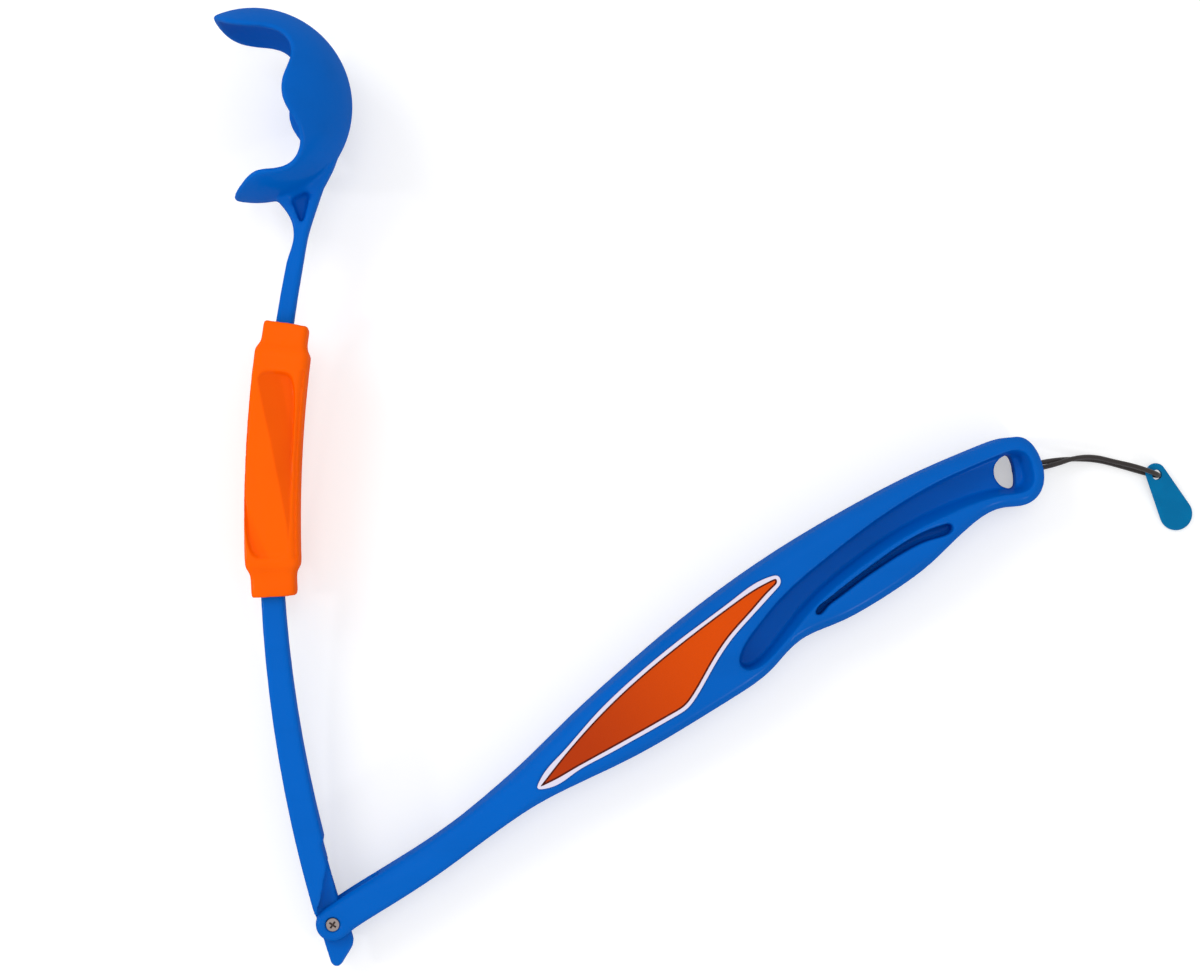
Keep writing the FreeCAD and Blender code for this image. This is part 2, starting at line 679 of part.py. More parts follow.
# Lock sleeve: sections across the shaft, carried along its bend


def sleeve_bore_side():
    return KNUCKLE_RADIUS + SLEEVE_BORE_CLEARANCE


def sleeve_bore_face():
    return HINGE_THICKNESS / 2 + SLEEVE_BORE_FACE_CLEARANCE


def bend_centre():
    return V(BEND_RADIUS, 0, 0)


def slid(shape, along):
    return rotated(shape, bend_centre(), PLANE, -math.degrees(along / BEND_RADIUS))


def section(side, face, radius):
    """Rectangle with round corners across the shaft at the hinge."""
    corners = []
    for x, z in ((1, 1), (-1, 1), (-1, -1), (1, -1)):
        corners.append((V(SLEEVE_OFFSET + x * side, 0, z * face), x, z))
    edges = []
    diagonal = radius * (1 - math.sqrt(0.5))
    for (corner, x, z), (following, x2, z2) in zip(corners, corners[1:] + corners[:1]):
        first, last = V(0, 0, -z * radius), V(-x * radius, 0, 0)
        if x != z:
            first, last = last, first
        edges.append(arc(corner + first, corner + V(-x * diagonal, 0, -z * diagonal), corner + last))
        ahead = V(-x2 * radius, 0, 0) if x2 != z2 else V(0, 0, -z2 * radius)
        edges.append(line(corner + last, following + ahead))
    return Part.Wire(edges)


def run(side, face, radius, start, length):
    """A straight-walled length of the sleeve, along the bend."""
    turn = -math.degrees(length / BEND_RADIUS)
    return slid(Part.Face(section(side, face, radius)).revolve(bend_centre(), PLANE, turn), start)


def taper(lower, upper, start, length):
    wires = [slid(section(*lower), start), slid(section(*upper), start + length)]
    return Part.makeLoft(wires, True, True)


def facet(start, right, turn, tilt):
    """Everything above a plane that tilts down to one side of a crease."""
    block = Part.makeBox(60, 240, 20, V(0, -120, 0))
    block.rotate(ORIGIN, V(0, 1, 0), tilt)
    block.rotate(ORIGIN, PLANE, turn)
    return slid(moved(block, V(SLEEVE_OFFSET + right, 0, sleeve_face())), start)


def sleeve_face():
    return sleeve_bore_face() + SLEEVE_FACE_WALL


def grip_panel():
    """Oval panel with two twisted facets, cut into the sleeve's face."""
    half, width = PANEL_LENGTH / 2, PANEL_WIDTH / 2
    middle = SLEEVE_START + PANEL_START + half
    shares = [(0, 1), (0.5, 0.97), (0.85, 0.72), (1, 0), (0.85, -0.72), (0.5, -0.97), (0, -1),
              (-0.5, -0.97), (-0.85, -0.72), (-1, 0), (-0.85, 0.72), (-0.5, 0.97)]
    points = [on_bend(middle + a * half, SLEEVE_OFFSET + b * width) for a, b in shares]
    ahead = along_bend(middle) * 15
    outline = Part.Wire(smooth(points + points[:1], ahead, ahead, 3))
    oval = slab(outline, sleeve_face() - PANEL_DEPTH, sleeve_face() + 1)
    corner = middle + CORNER_PLACE * half
    long_facet = oval.common(facet(middle, CREASE_OFFSET, CREASE_TURN, FACET_TILT))
    corner_facet = oval.common(facet(corner, CORNER_OFFSET, CORNER_TURN, CORNER_TILT))
    return [long_facet, corner_facet]


def make_sleeve():
    side, face = sleeve_bore_side() + SLEEVE_WALL, sleeve_face()
    collar = (sleeve_bore_side() + COLLAR_WALL, sleeve_bore_face() + COLLAR_FACE_WALL, COLLAR_ROUND)
    body = (side, face, SLEEVE_ROUND)
    low, high = SLEEVE_START, SLEEVE_START + SLEEVE_LENGTH
    first, last = low + LOWER_COLLAR, high - UPPER_COLLAR
    sleeve = run(*collar, low, LOWER_COLLAR)
    sleeve = sleeve.fuse(taper(collar, body, first, SLEEVE_TAPER))
    sleeve = sleeve.fuse(run(*body, first + SLEEVE_TAPER, last - first - 2 * SLEEVE_TAPER))
    sleeve = sleeve.fuse(taper(body, collar, last - SLEEVE_TAPER, SLEEVE_TAPER))
    sleeve = sleeve.fuse(run(*collar, last, UPPER_COLLAR))
    sleeve = sleeve.cut(run(sleeve_bore_side(), sleeve_bore_face(), BORE_ROUND, low - 2, SLEEVE_LENGTH + 4))
    tools = [tool for panel in grip_panel() for tool in both_faces(panel)]
    return one_solid(cut_all(sleeve, tools))


# Cord and pull tab, drawn in the laid frame. Offsets are from the exit point;
# heights are above the surface.

UPPER_STRAND = [(8.9, 2.8, 5.0), (16.9, 3.5, 1.7), (25.6, 3.2, 0.95), (33.9, 0.9, 0.95), (41.4, -1.4, 0.95)]
LOWER_STRAND = [(8.7, 0.4, 6.3), (16.0, 3.6, 4.9), (23.8, 4.3, 3.7), (31.6, 2.5, 4.1), (39.4, 0.7, 6.0)]


def tab_hole_point(exit_point):
    height = CORD_DIAMETER + CORD_LIFT + TAB_GAP + TAB_THICKNESS / 2
    return V(exit_point.x + TAB_HOLE[0], exit_point.y + TAB_HOLE[1], height)


def cord_points(exit_point, direction):
    """One strand out to the tab, down or up through its hole, and back."""
    side = V(-direction.y, direction.x, 0).normalize() * (STRAND_SPACING / 2)
    hole = tab_hole_point(exit_point)
    rise = TAB_THICKNESS / 2 + TAB_GAP + CORD_DIAMETER / 2

    def placed(offsets):
        return [V(exit_point.x + x, exit_point.y + y, z) for x, y, z in offsets]

    root = exit_point - direction * CORD_BORE_LENGTH
    lead = exit_point + direction * CORD_LEAD
    points = [root + side, lead + side] + placed(UPPER_STRAND)
    points += [hole - V(0, 0, rise), hole + V(0, 0, rise)]
    return points + list(reversed(placed(LOWER_STRAND))) + [lead - side, root - side]


def make_cord(points):
    """Straight runs joined by tangent arcs, each as large as its two runs allow."""
    edges, start, radii = [], points[0], []
    for before, point, after in zip(points, points[1:], points[2:]):
        back, ahead = before - point, after - point
        half_turn = (math.pi - back.getAngle(ahead)) / 2
        reach = 0.45 * min(back.Length, ahead.Length)
        radii.append(reach / math.tan(half_turn))
        back.normalize()
        ahead.normalize()
        first, last = point + back * reach, point + ahead * reach
        to_centre = (back + ahead).normalize()
        depth = radii[-1] / math.cos(half_turn) - radii[-1]
        edges += [line(start, first), arc(first, point + to_centre * depth, last)]
        start = last
    edges.append(line(start, points[-1]))
    path = Part.Wire(edges)
    ahead = (points[1] - points[0]).normalize()
    circle = Part.Wire(Part.makeCircle(CORD_DIAMETER / 2, points[0], ahead))
    tube = Part.Wire(path.Edges).makePipeShell([circle], True, False)
    expected = path.Length * math.pi * CORD_DIAMETER ** 2 / 4
    print("cord radii", [round(r, 1) for r in radii])
    print("cord length %.1f, volume %.1f for an expected %.1f" % (path.Length, tube.Volume, expected))
    return one_solid(tube)


def make_knot(exit_point, direction):
    floor = exit_point - direction * CORD_BORE_LENGTH
    knot = Part.makeCylinder(KNOT_RADIUS, KNOT_LENGTH, floor, direction * -1)
    for centre, radius in ((floor - direction * KNOT_LENGTH, KNOT_ROUND), (floor, KNOT_SEAT_ROUND)):
        circles = [e for e in knot.Edges if e.Curve.TypeId == "Part::GeomCircle"]
        rim = [e for e in circles if (e.Curve.Center - centre).Length < 0.01]
        knot = knot.makeFillet(radius, rim)
    return one_solid(knot)


def tab_tilt(hole):
    """Tilt that brings the tab's far end down to the surface."""
    drop = hole.z - TAB_THICKNESS / 2
    reach = TAB_LENGTH - TAB_HOLE_SHIFT + TAB_END_RADIUS - TAB_ROUND
    return math.degrees(math.asin(drop / reach))


def tab_axis(hole):
    tilted = FreeCAD.Rotation(V(1, 0, 0), tab_tilt(hole)).multVec(PLANE)
    return turned(tilted, TAB_DIRECTION + 90)


def make_tab(hole):
    """Teardrop tab that hangs on the cord, its far end resting on the surface."""
    top = V(0, TAB_HOLE_SHIFT, 0)
    far = top - V(0, TAB_LENGTH, 0)
    lean = math.degrees(math.asin((TAB_END_RADIUS - TAB_TOP_RADIUS) / TAB_LENGTH))
    right, left = polar(1, lean), polar(1, 180 - lean)
    a, b = top + right * TAB_TOP_RADIUS, top + left * TAB_TOP_RADIUS
    c, d = far + left * TAB_END_RADIUS, far + right * TAB_END_RADIUS
    edges = [arc(a, top + V(0, TAB_TOP_RADIUS, 0), b), line(b, c)]
    edges += [arc(c, far - V(0, TAB_END_RADIUS, 0), d), line(d, a)]
    half = TAB_THICKNESS / 2
    tab = slab(Part.Wire(edges), -half, half)
    rim = [e for e in tab.Edges if abs(abs(e.CenterOfMass.z) - half) < 0.01]
    tab = tab.makeFillet(TAB_ROUND, rim)
    tab = tab.cut(cylinder(CORD_DIAMETER / 2 + TAB_HOLE_CLEARANCE, -half - 1, half + 1))
    tab.rotate(ORIGIN, V(1, 0, 0), tab_tilt(hole))
    tab.rotate(ORIGIN, PLANE, TAB_DIRECTION + 90)
    return one_solid(moved(tab, hole))


# Laying the object down as it comes to rest on a flat surface


def mesh_points(shapes):
    return [point for shape in shapes for point in shape.tessellate(0.02)[0]]


def resting_up(points, weight):
    """Upward direction in which the weight lies lowest over what it rests on."""

    def height(up):
        return weight.dot(up) - min(point.dot(up) for point in points)

    up, step = PLANE, 0.05
    lowest = height(up)
    while step > 0.00005:
        tries = [(up + polar(step, angle)).normalize() for angle in range(0, 360, 30)]
        best = min(tries, key=height)
        if height(best) < lowest - 1e-7:
            up, lowest = best, height(best)
        else:
            step *= 0.5
    return up


def lay_down(pieces):
    """Placement that lays the pieces flat with the origin under their middle."""
    points = mesh_points(pieces.values())
    volume = sum(shape.Volume for shape in pieces.values())
    weight = V(0, 0, 0)
    for shape in pieces.values():
        weight += shape.CenterOfMass * (shape.Volume / volume)
    up = resting_up([p for p in points if p.z < -KNUCKLE_RADIUS], weight)
    across = (V(1, 0, 0) - up * up.x).normalize()
    rotation = FreeCAD.Rotation(across, up.cross(across), up, "ZXY").inverted()
    turned_points = [rotation.multVec(point) for point in points]
    low = [min(p[i] for p in turned_points) for i in range(3)]
    high = [max(p[i] for p in turned_points) for i in range(3)]
    shift = V(-(low[0] + high[0]) / 2, -(low[1] + high[1]) / 2, -low[2])
    return FreeCAD.Placement(shift, rotation)


def place(shape, placement):
    copy = shape.copy()
    copy.Placement = placement.multiply(copy.Placement)
    return copy


def main():
    arm_place = FreeCAD.Placement(ORIGIN, FreeCAD.Rotation(PLANE, ARM_DIRECTION - 90))
    handle_place = FreeCAD.Placement(ORIGIN, FreeCAD.Rotation(PLANE, HANDLE_DIRECTION))
    label = make_label()
    exit_point, direction = cord_bore_frame()
    pieces = {
        "throwing_arm": place(make_arm(), arm_place),
        "lock_sleeve": place(make_sleeve(), arm_place),
        "handle": place(make_handle(), handle_place),
        "label_plate_front": place(label, handle_place),
        "label_plate_back": place(label.mirror(ORIGIN, PLANE), handle_place),
        "pivot_nut": place(make_nut(), handle_place),
        "pivot_screw": place(make_screw(), handle_place),
    }
    laid = lay_down(pieces)
    pieces = {name: place(shape, laid) for name, shape in pieces.items()}
    exit_point = laid.multVec(handle_place.multVec(exit_point))
    direction = laid.Rotation.multVec(handle_place.Rotation.multVec(direction))
    hole = tab_hole_point(exit_point)
    pieces["cord"] = make_cord(cord_points(exit_point, direction))
    pieces["cord_knot"] = make_knot(exit_point, direction)
    pieces["pull_tab"] = make_tab(hole)
    report_frame(laid, arm_place, handle_place, exit_point, direction, hole)
    os.makedirs("parts", exist_ok=True)
    for name, shape in pieces.items():
        one_solid(shape).exportStep("parts/%s.step" % name)
        print("%s %.0f mm3" % (name, shape.Volume))


def report_frame(laid, arm_place, handle_place, exit_point, direction, hole):
    """Print the places and directions that the joints and mounts need."""
    face = HANDLE_THICKNESS / 2 - LABEL_SEAT_DEPTH + LABEL_BASE
    spots = {
        "hinge pin": laid.multVec(ORIGIN),
        "hinge axis": laid.Rotation.multVec(PLANE),
        "bend centre": laid.multVec(arm_place.multVec(bend_centre())),
        "ball centre": laid.multVec(arm_place.multVec(CUP_CENTRE)),
        "label face": laid.multVec(handle_place.multVec(V(150, 13, face))),
        "hang hole": laid.multVec(handle_place.multVec(V(296.4, 16.2, 0))),
        "cord exit": exit_point,
        "cord direction": direction,
        "tab hole": hole,
        "tab axis": tab_axis(hole),
        "neck direction": laid.Rotation.multVec(polar(1, HANDLE_DIRECTION)),
    }
    for name, spot in spots.items():
        print("%s %.7f %.7f %.7f" % (name, spot.x, spot.y, spot.z))
    print("sleeve degrees per millimetre %.5f" % math.degrees(1 / BEND_RADIUS))


if __name__ == "__main__":
    main()
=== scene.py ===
import json
import math

import bmesh
import bpy
from bpy.props import FloatProperty, FloatVectorProperty, IntProperty, PointerProperty
from mathutils import Matrix, Vector
from mathutils.bvhtree import BVHTree
from mathutils.kdtree import KDTree


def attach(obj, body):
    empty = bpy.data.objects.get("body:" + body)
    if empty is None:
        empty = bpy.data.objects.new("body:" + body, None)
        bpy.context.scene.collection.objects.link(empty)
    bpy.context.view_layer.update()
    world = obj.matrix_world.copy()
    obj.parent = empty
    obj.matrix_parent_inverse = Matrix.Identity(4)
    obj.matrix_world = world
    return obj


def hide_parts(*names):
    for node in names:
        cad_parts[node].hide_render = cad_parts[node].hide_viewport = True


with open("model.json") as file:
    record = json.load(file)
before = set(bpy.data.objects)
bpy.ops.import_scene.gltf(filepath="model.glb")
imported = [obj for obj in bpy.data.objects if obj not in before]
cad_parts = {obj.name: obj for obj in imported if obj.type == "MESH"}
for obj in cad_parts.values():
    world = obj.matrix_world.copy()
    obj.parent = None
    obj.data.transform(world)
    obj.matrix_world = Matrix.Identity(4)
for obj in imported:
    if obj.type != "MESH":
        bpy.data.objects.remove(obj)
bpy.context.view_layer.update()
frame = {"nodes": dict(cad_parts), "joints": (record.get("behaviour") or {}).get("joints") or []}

bl_info = {
    "name": "Folding Ball Launcher",
    "version": (1, 0, 0),
    "blender": (4, 5, 0),
    "location": "View3D > Sidebar > Launcher",
    "description": "Finishes the folding ball launcher: its plastics, labels, cord, hinge screw and studio",
    "category": "Object",
}

MM = 0.001
WHITE = (1.0, 1.0, 1.0)

# Where the mouldings turn and lie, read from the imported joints
JOINTS = {joint["name"]: joint for joint in frame["joints"]}
HINGE_PIN = Vector(JOINTS["fold"]["pos_m"])
HINGE_AXIS = Vector(JOINTS["fold"]["axis"]).normalized()
BEND_CENTRE = Vector(JOINTS["sleeve_slide"]["pos_m"])
BEND_LIFT = (HINGE_PIN - BEND_CENTRE).dot(HINGE_AXIS)
BEND_START = HINGE_PIN - BEND_CENTRE - HINGE_AXIS * BEND_LIFT
TAB_HOLE = Vector(JOINTS["tab_swing"]["pos_m"])
TAB_AXIS = Vector(JOINTS["tab_swing"]["axis"]).normalized()

# Levels above the mouldings' mid plane. A pair is where a rise starts and where it ends.
HANDLE_FACE = 12.0 * MM
PRINT_FIELD = 11.9 * MM
BORDER_RISE = (12.10 * MM, 12.16 * MM)
DRIVE_RISE = (8.0 * MM, 8.3 * MM)


# Sizes and colours a user may change


def ink(code):
    """A hex colour as the eye reads it, turned by the sRGB curve into linear values."""
    values = [int(code[i : i + 2], 16) / 255 for i in (0, 2, 4)]
    return tuple(v / 12.92 if v <= 0.04045 else ((v + 0.055) / 1.055) ** 2.4 for v in values)


def colour(name, description, code):
    """A colour a user may change, its default given as a hex code."""
    return FloatVectorProperty(
        name=name,
        description=description,
        default=ink(code),
        subtype="COLOR",
        size=3,
        min=0.0,
        max=1.0,
    )


class MouldingSettings(bpy.types.PropertyGroup):
    blue: colour("Blue", "Colour of the arm and the handle", "0062C4")
    deep_blue: colour(
        "Deep blue", "Tone the blue drifts to where the plastic flowed last", "005AB4"
    )
    grain: FloatProperty(
        name="Grain",
        description="Size of the moulded grain",
        default=0.45 * MM,
        unit="LENGTH",
        min=0.05 * MM,
    )
    grid: FloatProperty(
        name="Skin",
        description="Size of the faces that the mouldings' skin is made of",
        default=0.7 * MM,
        unit="LENGTH",
        min=0.5 * MM,
    )
    shoulder: FloatProperty(
        name="Shoulder",
        description="Radius the handle is rounded over by",
        default=4.5 * MM,
        unit="LENGTH",
        min=1.0 * MM,
        max=8.0 * MM,
    )
    softness: IntProperty(
        name="Softness",
        description="Rounds of smoothing over the mouldings' edges",
        default=3,
        min=0,
        max=30,
    )
    parting: FloatProperty(
        name="Parting line",
        description="Half width of the mould's parting line",
        default=0.12 * MM,
        unit="LENGTH",
        min=0.0,
    )


class SleeveSettings(bpy.types.PropertyGroup):
    orange: colour("Orange", "Colour of the lock sleeve", "FF6200")
    # Painted shade: the colour the sleeve darkens to on the facets that lean away from the light, and in
    # part its random drifts of tone.
    shade_and_drift_orange: colour("Deep orange", "Tone of the sleeve in its hollows", "E65000")
    grid: FloatProperty(
        name="Skin",
        description="Size of the faces that the sleeve's skin is made of",
        default=0.5 * MM,
        unit="LENGTH",
        min=0.3 * MM,
    )
    softness: IntProperty(
        name="Softness",
        description="Rounds of smoothing over the sleeve's edges",
        default=14,
        min=0,
        max=60,
    )


class LabelSettings(bpy.types.PropertyGroup):
    border: colour("Border", "Colour of the raised border", "E2DCF0")
    print_top: colour("Print, grip end", "Colour of the print toward the grip", "E04E04")
    print_foot: colour("Print, hinge end", "Colour of the print toward the hinge", "B83A0C")
    keyline: colour("Keyline", "Colour of the thin line inside the border", "461610")
    line: FloatProperty(
        name="Keyline width",
        description="Width of the thin line inside the border",
        default=0.65 * MM,
        unit="LENGTH",
        min=0.1 * MM,
    )


class CordSettings(bpy.types.PropertyGroup):
    thickness: FloatProperty(
        name="Thickness",
        description="Diameter of the braided cord",
        default=1.8 * MM,
        unit="LENGTH",
        min=0.3 * MM,
    )
    # Painted shade and painted highlight: the dark colour lies down between the yarns and the light one on
    # their tops.
    dark: colour("Dark yarn", "Colour of the cord between its yarns", "130F0D")
    light: colour("Light yarn", "Colour on top of the cord's yarns", "3A302D")
    strands: IntProperty(
        name="Yarns",
        description="Yarns that run each way round the cord",
        default=8,
        min=3,
        max=24,
    )


class TabSettings(bpy.types.PropertyGroup):
    body: colour("Body", "Colour of the pull tab", "006A9E")
    # Painted light: the brighter colour at the tab's edge, as if light came through it.
    edge: colour("Edge", "Colour where light comes through the tab's edge", "0080B8")


class PivotSettings(bpy.types.PropertyGroup):
    steel: colour("Steel", "Colour of the screw and the barrel nut", "9A8E8A")
    # Painted shade: the dark colour down in the screw's drive, where shade falls.
    drive_shade: colour("Soil", "Colour down in the screw's drive", "3A2A24")


class StageSettings(bpy.types.PropertyGroup):
    lens: FloatProperty(
        name="Lens",
        description="Focal length of the camera on a 36 mm sensor",
        default=76.62 * MM,
        unit="LENGTH",
        min=1 * MM,
    )
    roll: FloatProperty(
        name="Roll",
        description="Turn of the camera round its own line of sight",
        default=math.radians(0.0458),
        subtype="ANGLE",
    )
    floor: colour("Floor", "Colour of the floor", "DCDCDC")
    floor_glow: FloatProperty(
        name="Floor glow",
        description="White the camera sees on the floor besides its lit colour",
        default=0.40,
        min=0.0,
        max=1.0,
    )
    sky: FloatProperty(
        name="Sky",
        description="Even light from all round",
        default=0.72,
        min=0.0,
        max=2.0,
    )
    lamps: FloatProperty(
        name="Lamps",
        description="Strength of all the lamps together",
        default=1.0,
        min=0.0,
        max=5.0,
    )


class LauncherSettings(bpy.types.PropertyGroup):
    moulding: PointerProperty(type=MouldingSettings)
    sleeve: PointerProperty(type=SleeveSettings)
    label: PointerProperty(type=LabelSettings)
    cord: PointerProperty(type=CordSettings)
    tab: PointerProperty(type=TabSettings)
    pivot: PointerProperty(type=PivotSettings)
    stage: PointerProperty(type=StageSettings)


def settings():
    """All the sizes and colours, as they are set now."""
    return bpy.context.scene.ball_launcher


# Shader maths

# The Mix node's sockets for a blend of two colours
MIX_FACTOR, MIX_FIRST, MIX_SECOND, MIX_RESULT = 0, 6, 7, 2


class Wire:
    """An output in a material's nodes. Arithmetic on it adds Math nodes."""

    def __init__(self, finish, socket):
        self.finish = finish
        self.socket = socket

    def maths(self, operation, *values):
        return self.finish.node("ShaderNodeMath", {"operation": operation}, dict(enumerate(values)))

    def __add__(self, other):
        return self.maths("ADD", self, other)

    def __radd__(self, other):
        return self.maths("ADD", other, self)

    def __sub__(self, other):
        return self.maths("SUBTRACT", self, other)

    def __rsub__(self, other):
        return self.maths("SUBTRACT", other, self)

    def __mul__(self, other):
        return self.maths("MULTIPLY", self, other)

    def __rmul__(self, other):
        return self.maths("MULTIPLY", other, self)

    def __abs__(self):
        return self.maths("ABSOLUTE", self)

    def wave(self):
        return self.maths("SINE", self)

    def over(self, other):
        """The larger of two values."""
        return self.maths("MAXIMUM", self, other)

    def under(self, other):
        """The smaller of two values."""
        return self.maths("MINIMUM", self, other)

    def step(self, low, high):
        """Rises smoothly from 0 at low to 1 at high."""
        return self.finish.node(
            "ShaderNodeMapRange",
            {"interpolation_type": "SMOOTHSTEP"},
            {"Value": self, "From Min": low, "From Max": high, "To Min": 0.0, "To Max": 1.0},
        )


class Finish:
    """A material, built up node by node."""

    def __init__(self, name, kind="materials"):
        self.material = getattr(bpy.data, kind).new(name)
        self.material.use_nodes = True
        self.tree = self.material.node_tree
        self.tree.nodes.clear()

    def node(self, kind, options=None, values=None, output=0):
        """Adds a node: its settings first, then the values or links of its sockets."""
        made = self.tree.nodes.new(kind)
        for key, value in (options or {}).items():
            setattr(made, key, value)
        for key, value in (values or {}).items():
            socket = made.inputs[key]
            if isinstance(value, Wire):
                self.tree.links.new(value.socket, socket)
            elif socket.type == "RGBA" and len(value) == 3:
                socket.default_value = (*value, 1.0)
            else:
                socket.default_value = value
        return None if output is None else Wire(self, made.outputs[output])

    def shown(self):
        """1 for rays that show the background: seen straight, mirrored or through clear things."""
        kinds = ("Is Camera Ray", "Is Glossy Ray", "Is Transmission Ray")
        camera, glossy, clear = (self.node("ShaderNodeLightPath", output=kind) for kind in kinds)
        return camera.over(glossy).over(clear)

    def place(self):
        """Position on the object, in metres."""
        return self.node("ShaderNodeTexCoord", output="Object")

    def along(self, direction, start=(0.0, 0.0, 0.0)):
        """Distance from start along a direction, in metres."""
        offset = -Vector(direction).dot(Vector(start))
        values = {0: self.place(), 1: tuple(direction)}
        dot = self.node("ShaderNodeVectorMath", {"operation": "DOT_PRODUCT"}, values, "Value")
        return dot + offset

    def noise(self, size, detail=2.0, roughness=0.5, turn=0.0, scale=None):
        """Cloudy noise with spots of about that size in metres. A scale stretches it along a turn
        in degrees."""
        where = self.place()
        if scale:
            values = {"Vector": where, "Rotation": (0.0, 0.0, math.radians(turn)), "Scale": scale}
            where = self.node("ShaderNodeMapping", {"vector_type": "POINT"}, values)
        values = {"Vector": where, "Scale": 1.0 / size, "Detail": detail, "Roughness": roughness}
        return self.node("ShaderNodeTexNoise", None, values, "Fac")

    def blend(self, factor, first, second):
        """A colour between two others."""
        values = {MIX_FACTOR: factor, MIX_FIRST: first, MIX_SECOND: second}
        return self.node("ShaderNodeMix", {"data_type": "RGBA"}, values, MIX_RESULT)

    def bump(self, height, depth, normal=None):
        """Height from 0 to 1 as relief of that depth in metres."""
        values = {"Height": height, "Distance": depth, "Strength": 1.0}
        if normal:
            values["Normal"] = normal
        return self.node("ShaderNodeBump", None, values)

    def surface(self, **values):
        """The surface shader, its sockets named with underscores for spaces, and the output."""
        named = {key.replace("_", " "): value for key, value in values.items()}
        shader = self.node("ShaderNodeBsdfPrincipled", None, named)
        self.node("ShaderNodeOutputMaterial", None, {"Surface": shader}, None)
        return self.material


# Finishes

# The gloss of every plastic is a thin coat alone. The base's own reflection is off, because it
# lays the white floor's light over steep walls.
COAT = {"Specular_IOR_Level": 0.0, "Coat_Weight": 0.05, "Coat_Roughness": 0.22, "Coat_IOR": 1.9}

# Depths of relief
GRAIN_DEPTH = 0.010 * MM
SEAM_DEPTH = 0.05 * MM
SLEEVE_GRAIN_DEPTH = 0.012 * MM
PRINT_DOT_DEPTH = 0.006 * MM
BRUSH_DEPTH = 0.004 * MM
YARN_DEPTH = 0.12 * MM
TAB_GRAIN_DEPTH = 0.01 * MM

# The print's tone runs from the hinge end to the grip end: heading, middle and reach each way
PRINT_HEADING = (math.cos(math.radians(35)), math.sin(math.radians(35)), 0.0)
PRINT_MIDDLE = (10.0 * MM, -70.0 * MM, 0.0)
PRINT_REACH = (-45.0 * MM, 30.0 * MM)

# Levels off the tab's mid plane between which the painted light of the edge gives way to the body's colour
TAB_EDGE = (0.3 * MM, 0.95 * MM)

# Colour of the floor's faint specks
FLOOR_SPECK = (0.6, 0.6, 0.6)

# Attribute of the sleeve that holds painted shade, 1 on the facets that lean away from the light
FACET_SHADE = "facet"


def moulded_blue(moulding):
    """Satin blue plastic with a fine grain, slow drifts of tone and the mould's parting line."""
    finish = Finish("moulded_blue")
    drift = finish.noise(55.0 * MM, 2.0, 0.45).step(0.35, 0.7)
    flow = finish.noise(10.0 * MM, 3.0, 0.55, turn=-30.0, scale=(0.16, 1.0, 1.0))
    deeper = drift * 0.55 + flow.step(0.45, 0.75) * 0.25
    tone = finish.blend(deeper, moulding.blue, moulding.deep_blue)
    seam = abs(finish.along(HINGE_AXIS, HINGE_PIN)).step(0.0, moulding.parting)
    grain = finish.noise(moulding.grain, 3.0, 0.6)
    scuffs = finish.noise(1.6 * MM, 4.0, 0.7, turn=25.0, scale=(0.05, 1.0, 1.0)).step(0.62, 0.74)
    normal = finish.bump(grain * 0.8 + flow * 0.2, GRAIN_DEPTH)
    normal = finish.bump(1.0 - seam, SEAM_DEPTH, normal)
    rough = 0.34 + grain * 0.10 + scuffs * 0.08
    return finish.surface(Base_Color=tone, Roughness=rough, Normal=normal, **COAT)


def sleeve_orange(sleeve):
    """Warm orange plastic, with painted shade on the facets that lean away from the light."""
    finish = Finish("sleeve_orange")
    drift = finish.noise(30.0 * MM, 2.0, 0.5).step(0.35, 0.7)
    grain = finish.noise(0.4 * MM, 3.0, 0.6)
    # Painted shade on the facets that lean away from the light, read from the sleeve's attribute; the drift
    # is random tone.
    painted_shade = finish.node("ShaderNodeAttribute", {"attribute_name": FACET_SHADE}, output="Fac")
    deeper = (painted_shade * 0.6 + drift * 0.25).under(1.0)
    tone = finish.blend(deeper, sleeve.orange, sleeve.shade_and_drift_orange)
    normal = finish.bump(grain, SLEEVE_GRAIN_DEPTH)
    return finish.surface(Base_Color=tone, Roughness=0.36 + grain * 0.1, Normal=normal, **COAT)


def label_print(label):
    """A printed plate: a pale raised border round an orange field that deepens to the hinge end."""
    finish = Finish("label_print")
    height = abs(finish.along(HINGE_AXIS, HINGE_PIN))
    border = height.step(*BORDER_RISE)
    field = finish.along(PRINT_HEADING, PRINT_MIDDLE).step(*PRINT_REACH)
    dots = finish.noise(0.25 * MM, 2.0, 0.6)
    tone = finish.blend(field, label.print_foot, label.print_top)
    tone = finish.blend(dots.step(0.3, 0.8) * 0.12, tone, label.keyline)
    tone = finish.blend(border, tone, label.border)
    normal = finish.bump(dots, PRINT_DOT_DEPTH)
    return finish.surface(Base_Color=tone, Roughness=0.42 - border * 0.1, Normal=normal, **COAT)


def keyline_ink(label):
    """Dark ink of the thin line round the print."""
    finish = Finish("keyline_ink")
    dots = finish.noise(0.3 * MM, 2.0, 0.6)
    tone = finish.blend(dots.step(0.3, 0.8) * 0.35, label.keyline, label.print_foot)
    return finish.surface(Base_Color=tone, Roughness=0.45 + dots * 0.1, **COAT)


def screw_steel(pivot):
    """Turned steel, with painted shade down in the drive."""
    finish = Finish("screw_steel")
    brushed = finish.noise(0.15 * MM, 3.0, 0.6)
    # Painted shade: below the drive's rim the steel turns dark and less metallic.
    out_of_drive = finish.along(HINGE_AXIS, HINGE_PIN).step(*DRIVE_RISE)
    return finish.surface(
        Base_Color=finish.blend(out_of_drive, pivot.drive_shade, pivot.steel),
        Metallic=0.2 + out_of_drive * 0.5,
        Roughness=0.28 + brushed * 0.16,
        Normal=finish.bump(brushed, BRUSH_DEPTH),
    )


